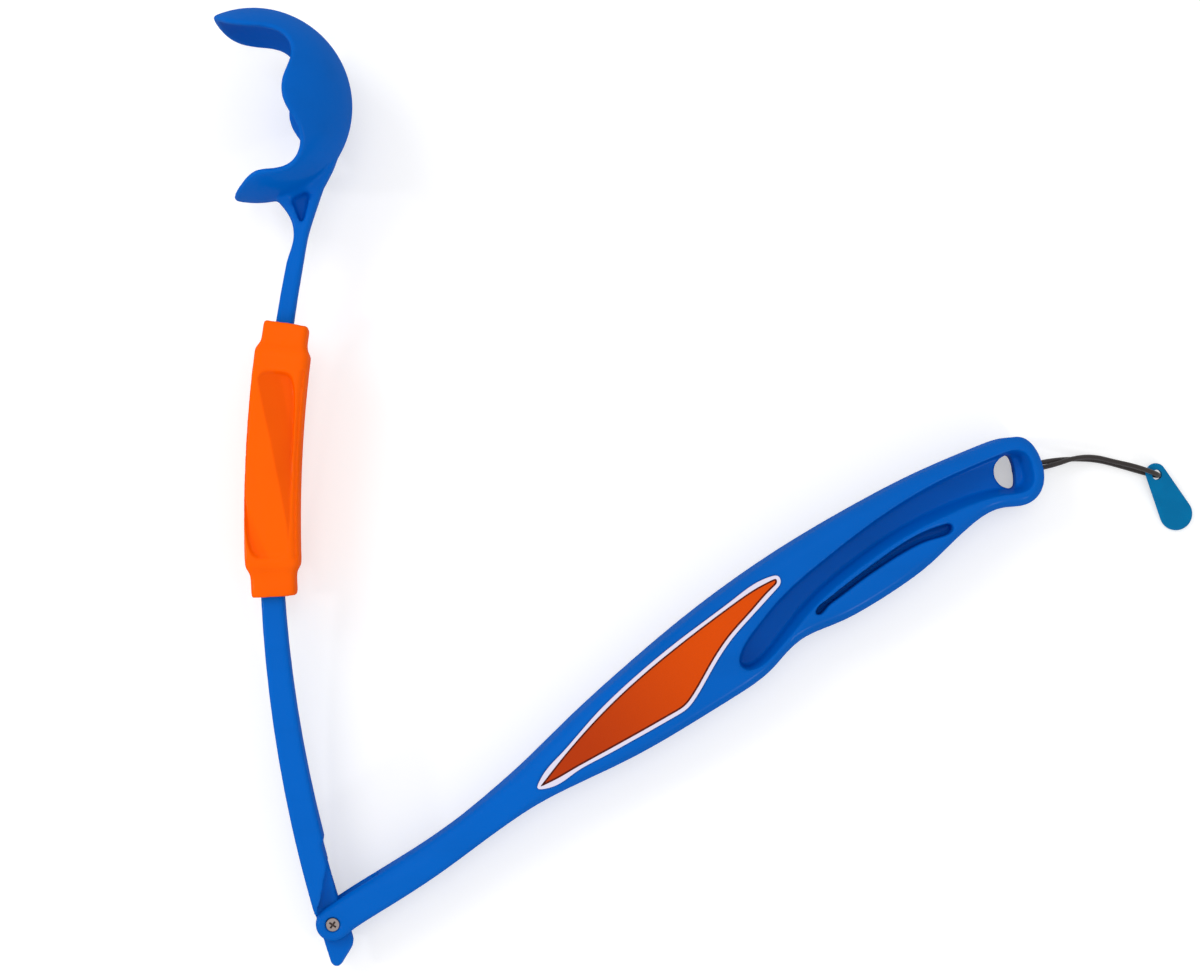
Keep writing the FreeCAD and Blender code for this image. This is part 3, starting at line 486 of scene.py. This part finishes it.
def braided_cord(cord, length):
    """Dark braided yarn that follows the cord's own surface, with painted shade between the yarns and
    painted highlight on their tops.
    """
    finish = Finish("braided_cord")
    uv = finish.node("ShaderNodeTexCoord", output="UV")
    run = finish.node("ShaderNodeSeparateXYZ", None, {"Vector": uv}, "X")
    around = finish.node("ShaderNodeSeparateXYZ", None, {"Vector": uv}, "Y")
    turns = length / (cord.thickness * math.pi)
    left = (math.tau * cord.strands * (run * turns + around)).wave()
    right = (math.tau * cord.strands * (run * turns - around)).wave()
    yarn = (left * right) * 0.5 + 0.5
    fuzz = finish.noise(0.12 * MM, 3.0, 0.7)
    # Painted shade and highlight: the yarns' relief sets the colour, dark between them and light on top;
    # the fuzz is random tone.
    lit = yarn * 0.75 + fuzz * 0.35
    return finish.surface(
        Base_Color=finish.blend(lit.step(0.15, 0.95), cord.dark, cord.light),
        Roughness=0.72 + fuzz * 0.2,
        Normal=finish.bump(yarn * 0.8 + fuzz * 0.3, YARN_DEPTH),
        Sheen_Weight=0.25,
        Sheen_Roughness=0.5,
    )


def tab_plastic(tab):
    """Soft, slightly clear plastic with painted light at its edge."""
    finish = Finish("tab_plastic")
    height = abs(finish.along(TAB_AXIS, TAB_HOLE))
    cloud = finish.noise(6.0 * MM, 2.0, 0.5)
    grain = finish.noise(0.3 * MM, 3.0, 0.6)
    # Painted light: the colour brightens toward the tab's edge; the cloud is random tone.
    edge = 1.0 - height.step(*TAB_EDGE)
    tone = finish.blend(edge * 0.8 + cloud.step(0.3, 0.8) * 0.25, tab.body, tab.edge)
    normal = finish.bump(grain, TAB_GRAIN_DEPTH)
    return finish.surface(Base_Color=tone, Roughness=0.38 + grain * 0.1, Normal=normal, **COAT)


def studio_floor(stage):
    """Pale floor that keeps the shadow and shows white."""
    finish = Finish("studio_floor")
    tooth = finish.noise(4.0 * MM, 3.0, 0.5)
    return finish.surface(
        Base_Color=finish.blend(tooth * 0.02, stage.floor, FLOOR_SPECK),
        Roughness=0.9,
        Specular_IOR_Level=0.0,
        Emission_Color=WHITE,
        Emission_Strength=finish.shown() * stage.floor_glow,
    )


def studio_light(stage):
    """Even light from all round, seen as white."""
    finish = Finish("studio_light", "worlds")
    strength = stage.sky + finish.shown() * (1.0 - stage.sky)
    sky = finish.node("ShaderNodeBackground", None, {"Color": WHITE, "Strength": strength})
    finish.node("ShaderNodeOutputWorld", None, {"Surface": sky}, None)
    return finish.material


# Helpers for pieces

# Points of a node's loose triangles that lie this near each other are one
WELD = 0.001 * MM


def clad(node, material):
    """Gives a carried-over node its finish."""
    for slot in frame["nodes"][node].material_slots:
        slot.material = material


def new_piece(name, data, material, body, slot, *nodes):
    """Puts a finished piece in the scene, on its body, in place of its nodes."""
    piece = bpy.data.objects.new(name, data)
    bpy.context.scene.collection.objects.link(piece)
    data.materials.append(material)
    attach(piece, body)
    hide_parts(*nodes)
    return piece


def merged_copy(node):
    """A closed copy of a node's shape, its loose triangles joined."""
    shape = bmesh.new()
    shape.from_mesh(frame["nodes"][node].data)
    bmesh.ops.remove_doubles(shape, verts=shape.verts, dist=WELD)
    return shape


def soft_piece(name, node, material, body, slot, grid):
    """A piece in place of a node, with an even skin of square faces ready to be worked."""
    shape = merged_copy(node)
    data = bpy.data.meshes.new(name)
    shape.to_mesh(data)
    shape.free()
    piece = new_piece(name, data, material, body, slot, node)
    modifier = piece.modifiers.new("even_skin", "REMESH")
    modifier.mode = "VOXEL"
    modifier.voxel_size = grid
    context = bpy.context
    context.view_layer.update()
    skinned = piece.evaluated_get(context.evaluated_depsgraph_get())
    even = bpy.data.meshes.new_from_object(skinned)
    piece.modifiers.clear()
    piece.data = even
    bpy.data.meshes.remove(data)
    skin = bmesh.new()
    skin.from_mesh(even)
    return piece, skin


def soften(skin, verts, rounds):
    """Rounds edges and fills corners, a little each time."""
    axes = {"use_axis_x": True, "use_axis_y": True, "use_axis_z": True}
    for _ in range(rounds):
        bmesh.ops.smooth_vert(skin, verts=verts, factor=0.5, **axes)


def settle(piece, skin):
    """Writes a worked skin back to its piece, smooth shaded."""
    for face in skin.faces:
        face.smooth = True
    skin.to_mesh(piece.data)
    skin.free()


def level(point):
    """Height above the mouldings' mid plane."""
    return (point - HINGE_PIN).dot(HINGE_AXIS)


def bend_place(point):
    """Along the arm's bend from the hinge pin, outward across it, and above mid height."""
    spoke = point - BEND_CENTRE
    height = spoke.dot(HINGE_AXIS)
    spoke = spoke - HINGE_AXIS * height
    angle = -math.atan2(BEND_START.cross(spoke).dot(HINGE_AXIS), BEND_START.dot(spoke))
    return angle * BEND_START.length, spoke.length - BEND_START.length, height - BEND_LIFT


# Shaping of the mouldings

# The handle's outer wall is found near mid height, where the wall stands up and no other part
# of the handle lies within view beyond it
WALL_BAND = 1.0 * MM
WALL_LEAN = 0.3
WALL_LIFT = 0.5 * MM
WALL_VIEW = 14.0 * MM

# The root of the cup: ranges along the bend and across it, and how far from the cup's outside
# and from the shaft's faces it reaches
CUP_CENTRE = Vector((-137.184, 137.996, 33.363)) * MM
CUP_RADIUS = 35.1 * MM
ROOT_ALONG = (236 * MM, 272 * MM)
ROOT_ACROSS = (-18 * MM, 9 * MM)
ROOT_REACH = 4.0 * MM
SHAFT_FACE = 5.5 * MM
ROOT_ROUNDS = 24


def round_shoulders(skin, radius):
    """Rounds the handle over from its faces to its outer wall."""
    tree = BVHTree.FromBMesh(skin)
    outline = []
    for vert in skin.verts:
        if abs(level(vert.co)) < WALL_BAND and abs(vert.normal.dot(HINGE_AXIS)) < WALL_LEAN:
            start = vert.co + vert.normal * WALL_LIFT
            if tree.ray_cast(start, vert.normal, WALL_VIEW)[0] is None:
                outline.append(vert.co - HINGE_AXIS * level(vert.co))
    near = KDTree(len(outline))
    for number, place in enumerate(outline):
        near.insert(place, number)
    near.balance()
    for vert in skin.verts:
        height = level(vert.co)
        if abs(height) < HANDLE_FACE - radius:
            continue
        inside = near.find(vert.co - HINGE_AXIS * height)[2]
        if inside < radius:
            limit = HANDLE_FACE - radius + math.sqrt(radius**2 - (radius - inside) ** 2)
            if abs(height) > limit:
                vert.co += HINGE_AXIS * (math.copysign(limit, height) - height)


def cup_root(skin):
    """The places where the arm's shaft runs into the cup."""
    found = []
    for vert in skin.verts:
        along, across, height = bend_place(vert.co)
        off_cup = abs((vert.co - CUP_CENTRE).length - CUP_RADIUS)
        off_face = abs(abs(height) - SHAFT_FACE)
        if not ROOT_ALONG[0] < along < ROOT_ALONG[1]:
            continue
        if not ROOT_ACROSS[0] < across < ROOT_ACROSS[1]:
            continue
        if off_cup < ROOT_REACH and off_face < ROOT_REACH:
            found.append(vert)
    return found


# Shaping of the sleeve, in mm. Places are along the bend, across it and above mid height.

# The body lies between the two collars
SLEEVE_BODY = (129.0, 211.0)

# Its face: its level, half the width that is flat, and the round beyond that
SLEEVE_FACE = 12.7
SLEEVE_FLAT = 6.8
SLEEVE_ROUND = 3.0

# The grip panel: the skin that may move, then the oval's middle, its half sizes, with one for
# each side of the middle line, and the powers that square it
PANEL_ENDS = (133.5, 202.5)
PANEL_FLOOR = 9.9
PANEL_SIDE = 9.5
PANEL_MIDDLE = (167.8, 0.4)
PANEL_HALF_LENGTH = 34.0
PANEL_HALF_WIDTHS = (7.9, 8.9)
PANEL_POWERS = (3.5, 5)
PANEL_CRISPNESS = 6.0

# Skin this steep is a wall when it lies this near the panel's middle line, and stays
STEEP = 0.45
STEEP_WITHIN = 8.0

# Ridges of the panel: place along the bend and place across it
LONG_CREASE = (
    (134.0, -6.6),
    (140.0, -6.2),
    (147.0, -5.5),
    (160.0, -3.0),
    (177.0, 1.1),
    (195.0, 6.6),
    (203.0, 9.0),
)
CORNER_RIDGE = ((134.0, 0.0), (136.0, 0.95), (147.0, 5.4), (155.0, 8.8), (160.0, 11.0))
CORNER_END = 158.0

# Slope of each facet away from its ridge, and the most that it falls
RIGHT_FALL = (0.24, 2.1)
LEFT_FALL = (0.09, 0.7)
CORNER_FALL = (0.3, 1.5)

# How fast the painted shade on the facets deepens away from their ridges
RIGHT_SHADE = 1.4
CORNER_SHADE = 0.35


def ridge_at(ridge, along):
    """Where a ridge runs, at a place along the bend."""
    along = min(max(along, ridge[0][0]), ridge[-1][0])
    for (low, start), (high, end) in zip(ridge, ridge[1:]):
        if along <= high:
            return start + (end - start) * (along - low) / (high - low)
    return ridge[-1][1]


def sleeve_face(middle):
    """Level of the sleeve's plain face, at a place across it from the panel's middle line."""
    beyond = abs(middle) - SLEEVE_FLAT
    if beyond < 0.0:
        return SLEEVE_FACE
    return SLEEVE_FACE - SLEEVE_ROUND + math.sqrt(max(0.0, SLEEVE_ROUND**2 - beyond**2))


def panel_oval(along, middle):
    """1 inside the grip panel's oval, falling smoothly to 0 at its rim."""
    run = (along - PANEL_MIDDLE[0]) / PANEL_HALF_LENGTH
    side = middle / PANEL_HALF_WIDTHS[middle > 0.0]
    oval = 1.0 - abs(run) ** PANEL_POWERS[0] - abs(side) ** PANEL_POWERS[1]
    inside = min(max(oval * PANEL_CRISPNESS, 0.0), 1.0)
    return inside * inside * (3.0 - 2.0 * inside)


def fall(distance, slope_and_most):
    """How far a facet falls, at a distance from its ridge."""
    slope, most = slope_and_most
    return min(most, slope * distance)


def sculpt_panels(skin):
    """Shapes the grip panel on each face: a long slanted facet and one across its corner. It also writes
    the painted shade of the facets that lean away from the light.
    """
    facet = skin.verts.layers.float.new(FACET_SHADE)
    for vert in skin.verts:
        along, across, height = (value / MM for value in bend_place(vert.co))
        middle = across - PANEL_MIDDLE[1]
        if abs(height) < PANEL_FLOOR or abs(middle) > PANEL_SIDE:
            continue
        if not PANEL_ENDS[0] < along < PANEL_ENDS[1]:
            continue
        if abs(vert.normal.dot(HINGE_AXIS)) < STEEP and abs(middle) < STEEP_WITHIN:
            continue
        inside = panel_oval(along, middle)
        right = max(0.0, ridge_at(LONG_CREASE, along) - across)
        left = max(0.0, across - ridge_at(LONG_CREASE, along))
        corner = 0.0
        if along < CORNER_END:
            corner = max(0.0, across - ridge_at(CORNER_RIDGE, along))
        drop = fall(right, RIGHT_FALL) + fall(left, LEFT_FALL) + fall(corner, CORNER_FALL)
        rise = (sleeve_face(middle) - inside * drop - abs(height)) * MM
        vert.co += HINGE_AXIS * (rise * math.copysign(1.0, height))
        # Painted shade: how far the sleeve's colour darkens here, on the facets that lean away from the
        # light
        vert[facet] = inside * min(1.0, RIGHT_SHADE * right + CORNER_SHADE * min(1.0, corner))


# Camera and cord

CAMERA_PLACE = Vector((-45.7467, -66.2125, 951.6373)) * MM
CAMERA_AIM = Vector((-10.7295, 1.5110, 0.0)) * MM
CAMERA_UP = Vector((0.0, 1.0, 0.0))
CAMERA_SENSOR = 36.0
CAMERA_CLIP = (0.01, 50.0)

# The cord's route: out of the handle, along the floor, through the tab and back. The strands'
# points are in mm, from the exit and above the floor.
CORD_EXIT = Vector((150.7665, 9.8526, 6.3960)) * MM
CORD_HEADING = Vector((0.97648, 0.21424, -0.02436))
CORD_HOLE = Vector((198.1665, 7.3526, 3.65)) * MM
CORD_INSET = 3.6 * MM
CORD_LEAD = 1.2 * MM
CORD_SPACING = 2.0 * MM
UPPER_STRAND = (
    (8.9, 2.8, 5.0),
    (16.9, 3.5, 1.7),
    (25.6, 3.2, 0.95),
    (33.9, 1.1, 0.95),
    (41.4, -1.1, 0.95),
)
LOWER_STRAND = (
    (8.7, 0.95, 6.3),
    (16.0, 3.6, 4.9),
    (23.8, 4.3, 3.7),
    (31.6, 2.3, 4.1),
    (39.4, 0.4, 6.0),
)
# Where it passes the tab's hole: how far off the hole's middle, and how far below and above it
HOLE_SHIFT = Vector((0.7, -0.3, 0.0)) * MM
HOLE_DROP = Vector((0.0, 0.0, 2.7 * MM))

# The cord's real length, and the steps between two of its points
CORD_LENGTH = 109.0 * MM
CORD_SMOOTHNESS = 12

# The knot: a line that winds twice round its centre while it swings in and out three times
KNOT_CENTRE = Vector((145.9, 8.85, 6.5)) * MM
KNOT_REACH = 1.45 * MM
KNOT_SWING = 0.68 * MM
KNOT_DEPTH = 0.85 * MM
KNOT_WINDS = 2
KNOT_SWINGS = 3
KNOT_POINTS = 30
KNOT_SQUEEZE = 0.44
KNOT_SMOOTHNESS = 8

# Roundness of both curves across their girth
GIRTH = 4


class BALL_LAUNCHER_OT_camera(bpy.types.Operator):
    """Sets the camera at the photograph's viewing angle, above the launcher"""

    bl_idname = "ball_launcher.camera"
    bl_label = "Camera"

    def execute(self, context):
        stage = settings().stage
        back = (CAMERA_PLACE - CAMERA_AIM).normalized()
        right = CAMERA_UP.cross(back).normalized()
        turn = Matrix((right, back.cross(right), back)).transposed()
        turn = turn @ Matrix.Rotation(stage.roll, 3, "Z")
        data = bpy.data.cameras.new("studio_camera")
        data.sensor_width = CAMERA_SENSOR
        data.sensor_fit = "HORIZONTAL"
        data.lens = stage.lens / MM
        data.clip_start, data.clip_end = CAMERA_CLIP
        camera = bpy.data.objects.new("studio_camera", data)
        camera.matrix_world = Matrix.Translation(CAMERA_PLACE) @ turn.to_4x4()
        context.scene.collection.objects.link(camera)
        context.scene.camera = camera
        return {"FINISHED"}


def cord_route():
    """Control points of the cord, from its end in the handle through the tab and back."""
    up = Vector((0.0, 0.0, 1.0))
    side = CORD_HEADING.cross(up).normalized() * (-0.5 * CORD_SPACING)
    root = CORD_EXIT - CORD_HEADING * CORD_INSET
    lead = CORD_EXIT + CORD_HEADING * CORD_LEAD
    hole = CORD_HOLE + HOLE_SHIFT

    def beyond(strand):
        return [Vector((CORD_EXIT.x + x * MM, CORD_EXIT.y + y * MM, z * MM)) for x, y, z in strand]

    return [
        root + side,
        lead + side,
        *beyond(UPPER_STRAND),
        hole - HOLE_DROP,
        hole + HOLE_DROP,
        *beyond(reversed(LOWER_STRAND)),
        lead - side,
        root - side,
    ]


def knot_route():
    """Control points of the knot."""
    route = []
    for number in range(KNOT_POINTS):
        turn = math.tau * number / KNOT_POINTS
        reach = KNOT_REACH + KNOT_SWING * math.cos(KNOT_SWINGS * turn)
        depth = KNOT_DEPTH * math.sin(KNOT_SWINGS * turn)
        wind = KNOT_WINDS * turn
        offset = Vector((depth, reach * math.cos(wind), reach * math.sin(wind)))
        route.append(KNOT_CENTRE + offset)
    return route


def round_curve(name, route, radius, smoothness):
    """A round NURBS curve with a route's points as its control points."""
    curve = bpy.data.curves.new(name, "CURVE")
    curve.dimensions = "3D"
    curve.bevel_depth = radius
    curve.bevel_resolution = GIRTH
    curve.resolution_u = smoothness
    spline = curve.splines.new("NURBS")
    spline.points.add(len(route) - 1)
    for point, place in zip(spline.points, route):
        point.co = (*place, 1.0)
    return curve, spline


class BALL_LAUNCHER_OT_cord(bpy.types.Operator):
    """Lays the doubled cord from the handle through the pull tab and back"""

    bl_idname = "ball_launcher.cord"
    bl_label = "Cord"

    def execute(self, context):
        cord = settings().cord
        material = braided_cord(cord, CORD_LENGTH)
        route = cord_route()
        curve, spline = round_curve("cord_line", route, cord.thickness / 2, CORD_SMOOTHNESS)
        spline.order_u = 3
        spline.use_endpoint_u = True
        curve.use_fill_caps = True
        piece = new_piece("cord_line", curve, material, "handle_body", "cord", "cord")
        knot = self.tie(cord, material)
        return {"FINISHED"}

    def tie(self, cord, material):
        """Ties the knot that keeps the cord in the handle."""
        radius = KNOT_SQUEEZE * cord.thickness
        curve, spline = round_curve("cord_stop_knot", knot_route(), radius, KNOT_SMOOTHNESS)
        spline.order_u = 4
        spline.use_cyclic_u = True
        return new_piece("cord_stop_knot", curve, material, "handle_body", "cord", "cord_knot")


# Mouldings, labels, hinge screw and tab

# How far the keyline lies above the field
KEYLINE_LIFT = 0.015 * MM

# How far a face of the field may be off its level, and how squarely it faces out
FIELD_SLACK = 0.05 * MM
FIELD_SQUARE = 0.99


class BALL_LAUNCHER_OT_mouldings(bpy.types.Operator):
    """Finishes the blue arm and handle"""

    bl_idname = "ball_launcher.mouldings"
    bl_label = "Arm and handle"

    def execute(self, context):
        moulding = settings().moulding
        material = moulded_blue(moulding)
        piece, skin = soft_piece(
            "handle_body_moulding", "handle", material, "handle_body", "handle", moulding.grid
        )
        round_shoulders(skin, moulding.shoulder)
        soften(skin, skin.verts, moulding.softness)
        settle(piece, skin)
        piece, skin = soft_piece(
            "throwing_arm_moulding", "throwing_arm", material, "arm", "arm", moulding.grid
        )
        soften(skin, cup_root(skin), ROOT_ROUNDS)
        soften(skin, skin.verts, moulding.softness)
        settle(piece, skin)
        return {"FINISHED"}


class BALL_LAUNCHER_OT_sleeve(bpy.types.Operator):
    """Finishes the orange lock sleeve"""

    bl_idname = "ball_launcher.sleeve"
    bl_label = "Lock sleeve"

    def execute(self, context):
        sleeve = settings().sleeve
        material = sleeve_orange(sleeve)
        piece, skin = soft_piece(
            "lock_sleeve_body", "lock_sleeve", material, "sleeve", "sleeve", sleeve.grid
        )
        low, high = SLEEVE_BODY
        collars = [vert for vert in skin.verts if not low < bend_place(vert.co)[0] / MM < high]
        soften(skin, skin.verts, sleeve.softness)
        soften(skin, collars, sleeve.softness)
        skin.normal_update()
        sculpt_panels(skin)
        soften(skin, skin.verts, 1)
        settle(piece, skin)
        return {"FINISHED"}


class BALL_LAUNCHER_OT_labels(bpy.types.Operator):
    """Finishes the label plate on each face of the handle"""

    bl_idname = "ball_launcher.labels"
    bl_label = "Labels"

    def execute(self, context):
        label = settings().label
        material = label_print(label)
        line = keyline_ink(label)
        for side, node in ((1.0, "label_plate_front"), (-1.0, "label_plate_back")):
            clad(node, material)
            name = node.replace("plate", "keyline")
            data = self.keyline(name, node, side, label.line)
            new_piece(name, data, line, "handle_body", "label")
        return {"FINISHED"}

    def keyline(self, name, node, side, width):
        """The thin line along the inside of a plate's border, as a ring just above its field."""
        shape = merged_copy(node)
        shape.normal_update()
        field = []
        for face in shape.faces:
            off_level = abs(abs(level(face.calc_center_median())) - PRINT_FIELD)
            if face.normal.dot(HINGE_AXIS) * side > FIELD_SQUARE and off_level < FIELD_SLACK:
                field.append(face)
        if not field:
            raise RuntimeError("the label plate has no printed field")
        inset = bmesh.ops.inset_region(
            shape, faces=field, thickness=width, use_even_offset=True, use_boundary=True
        )
        ring = set(inset["faces"])
        rest = [face for face in shape.faces if face not in ring]
        bmesh.ops.delete(shape, geom=rest, context="FACES")
        bmesh.ops.translate(shape, verts=shape.verts, vec=HINGE_AXIS * side * KEYLINE_LIFT)
        data = bpy.data.meshes.new(name)
        shape.to_mesh(data)
        shape.free()
        return data


class BALL_LAUNCHER_OT_pivot(bpy.types.Operator):
    """Finishes the hinge screw and its barrel nut"""

    bl_idname = "ball_launcher.pivot"
    bl_label = "Hinge screw"

    def execute(self, context):
        material = screw_steel(settings().pivot)
        clad("pivot_screw", material)
        clad("pivot_nut", material)
        return {"FINISHED"}


class BALL_LAUNCHER_OT_tab(bpy.types.Operator):
    """Finishes the pull tab on the cord"""

    bl_idname = "ball_launcher.tab"
    bl_label = "Pull tab"

    def execute(self, context):
        clad("pull_tab", tab_plastic(settings().tab))
        return {"FINISHED"}


# Stage

FLOOR_HALF_WIDTH = 12.0

# Name, place and diameter in metres, power in watts, and whether glossy surfaces mirror it
LAMPS = (
    ("lamp_top", (-0.10, 0.10, 1.80), 0.80, 4.0, False),
    ("lamp_key", (-0.85, 0.55, 1.05), 0.55, 3.3, False),
    ("lamp_rim", (-1.20, -0.10, 0.60), 0.10, 1.8, True),
    ("lamp_low", (0.80, -0.95, 0.70), 0.10, 1.8, True),
)


class BALL_LAUNCHER_OT_stage(bpy.types.Operator):
    """Builds the pale floor, the soft lamps and the even light round the launcher"""

    bl_idname = "ball_launcher.stage"
    bl_label = "Stage"

    def execute(self, context):
        stage = settings().stage
        scene = context.scene
        scene.view_settings.view_transform = "Standard"
        sheet = bmesh.new()
        bmesh.ops.create_grid(sheet, x_segments=2, y_segments=2, size=FLOOR_HALF_WIDTH)
        data = bpy.data.meshes.new("studio_floor")
        sheet.to_mesh(data)
        sheet.free()
        data.materials.append(studio_floor(stage))
        floor = bpy.data.objects.new("studio_floor", data)
        scene.collection.objects.link(floor)
        for name, place, size, power, mirrored in LAMPS:
            light = bpy.data.lights.new(name, "AREA")
            light.shape = "DISK"
            light.size = size
            light.energy = power * stage.lamps
            lamp = bpy.data.objects.new(name, light)
            lamp.location = place
            lamp.visible_glossy = mirrored
            lamp.rotation_euler = (-Vector(place)).to_track_quat("-Z", "Y").to_euler()
            scene.collection.objects.link(lamp)
        scene.world = studio_light(stage)
        return {"FINISHED"}


class BALL_LAUNCHER_PT_panel(bpy.types.Panel):
    """Lists the launcher's pieces in the sidebar"""

    bl_idname = "BALL_LAUNCHER_PT_panel"
    bl_label = "Folding Ball Launcher"
    bl_space_type = "VIEW_3D"
    bl_region_type = "UI"
    bl_category = "Launcher"

    def draw(self, context):
        for step in STEPS:
            self.layout.operator(step.bl_idname)


GROUPS = (
    MouldingSettings,
    SleeveSettings,
    LabelSettings,
    CordSettings,
    TabSettings,
    PivotSettings,
    StageSettings,
    LauncherSettings,
)
STEPS = (
    BALL_LAUNCHER_OT_camera,
    BALL_LAUNCHER_OT_cord,
    BALL_LAUNCHER_OT_mouldings,
    BALL_LAUNCHER_OT_sleeve,
    BALL_LAUNCHER_OT_labels,
    BALL_LAUNCHER_OT_pivot,
    BALL_LAUNCHER_OT_tab,
    BALL_LAUNCHER_OT_stage,
)
CLASSES = (*GROUPS, *STEPS, BALL_LAUNCHER_PT_panel)


def register():
    for kind in CLASSES:
        bpy.utils.register_class(kind)
    bpy.types.Scene.ball_launcher = PointerProperty(type=LauncherSettings)


def unregister():
    del bpy.types.Scene.ball_launcher
    for kind in reversed(CLASSES):
        bpy.utils.unregister_class(kind)


def main():
    """Makes the pieces in order."""
    register()
    bpy.ops.ball_launcher.camera()
    bpy.ops.ball_launcher.cord()
    bpy.ops.ball_launcher.mouldings()
    bpy.ops.ball_launcher.sleeve()
    bpy.ops.ball_launcher.labels()
    bpy.ops.ball_launcher.pivot()
    bpy.ops.ball_launcher.tab()
    bpy.ops.ball_launcher.stage()


if __name__ == "__main__":
    main()
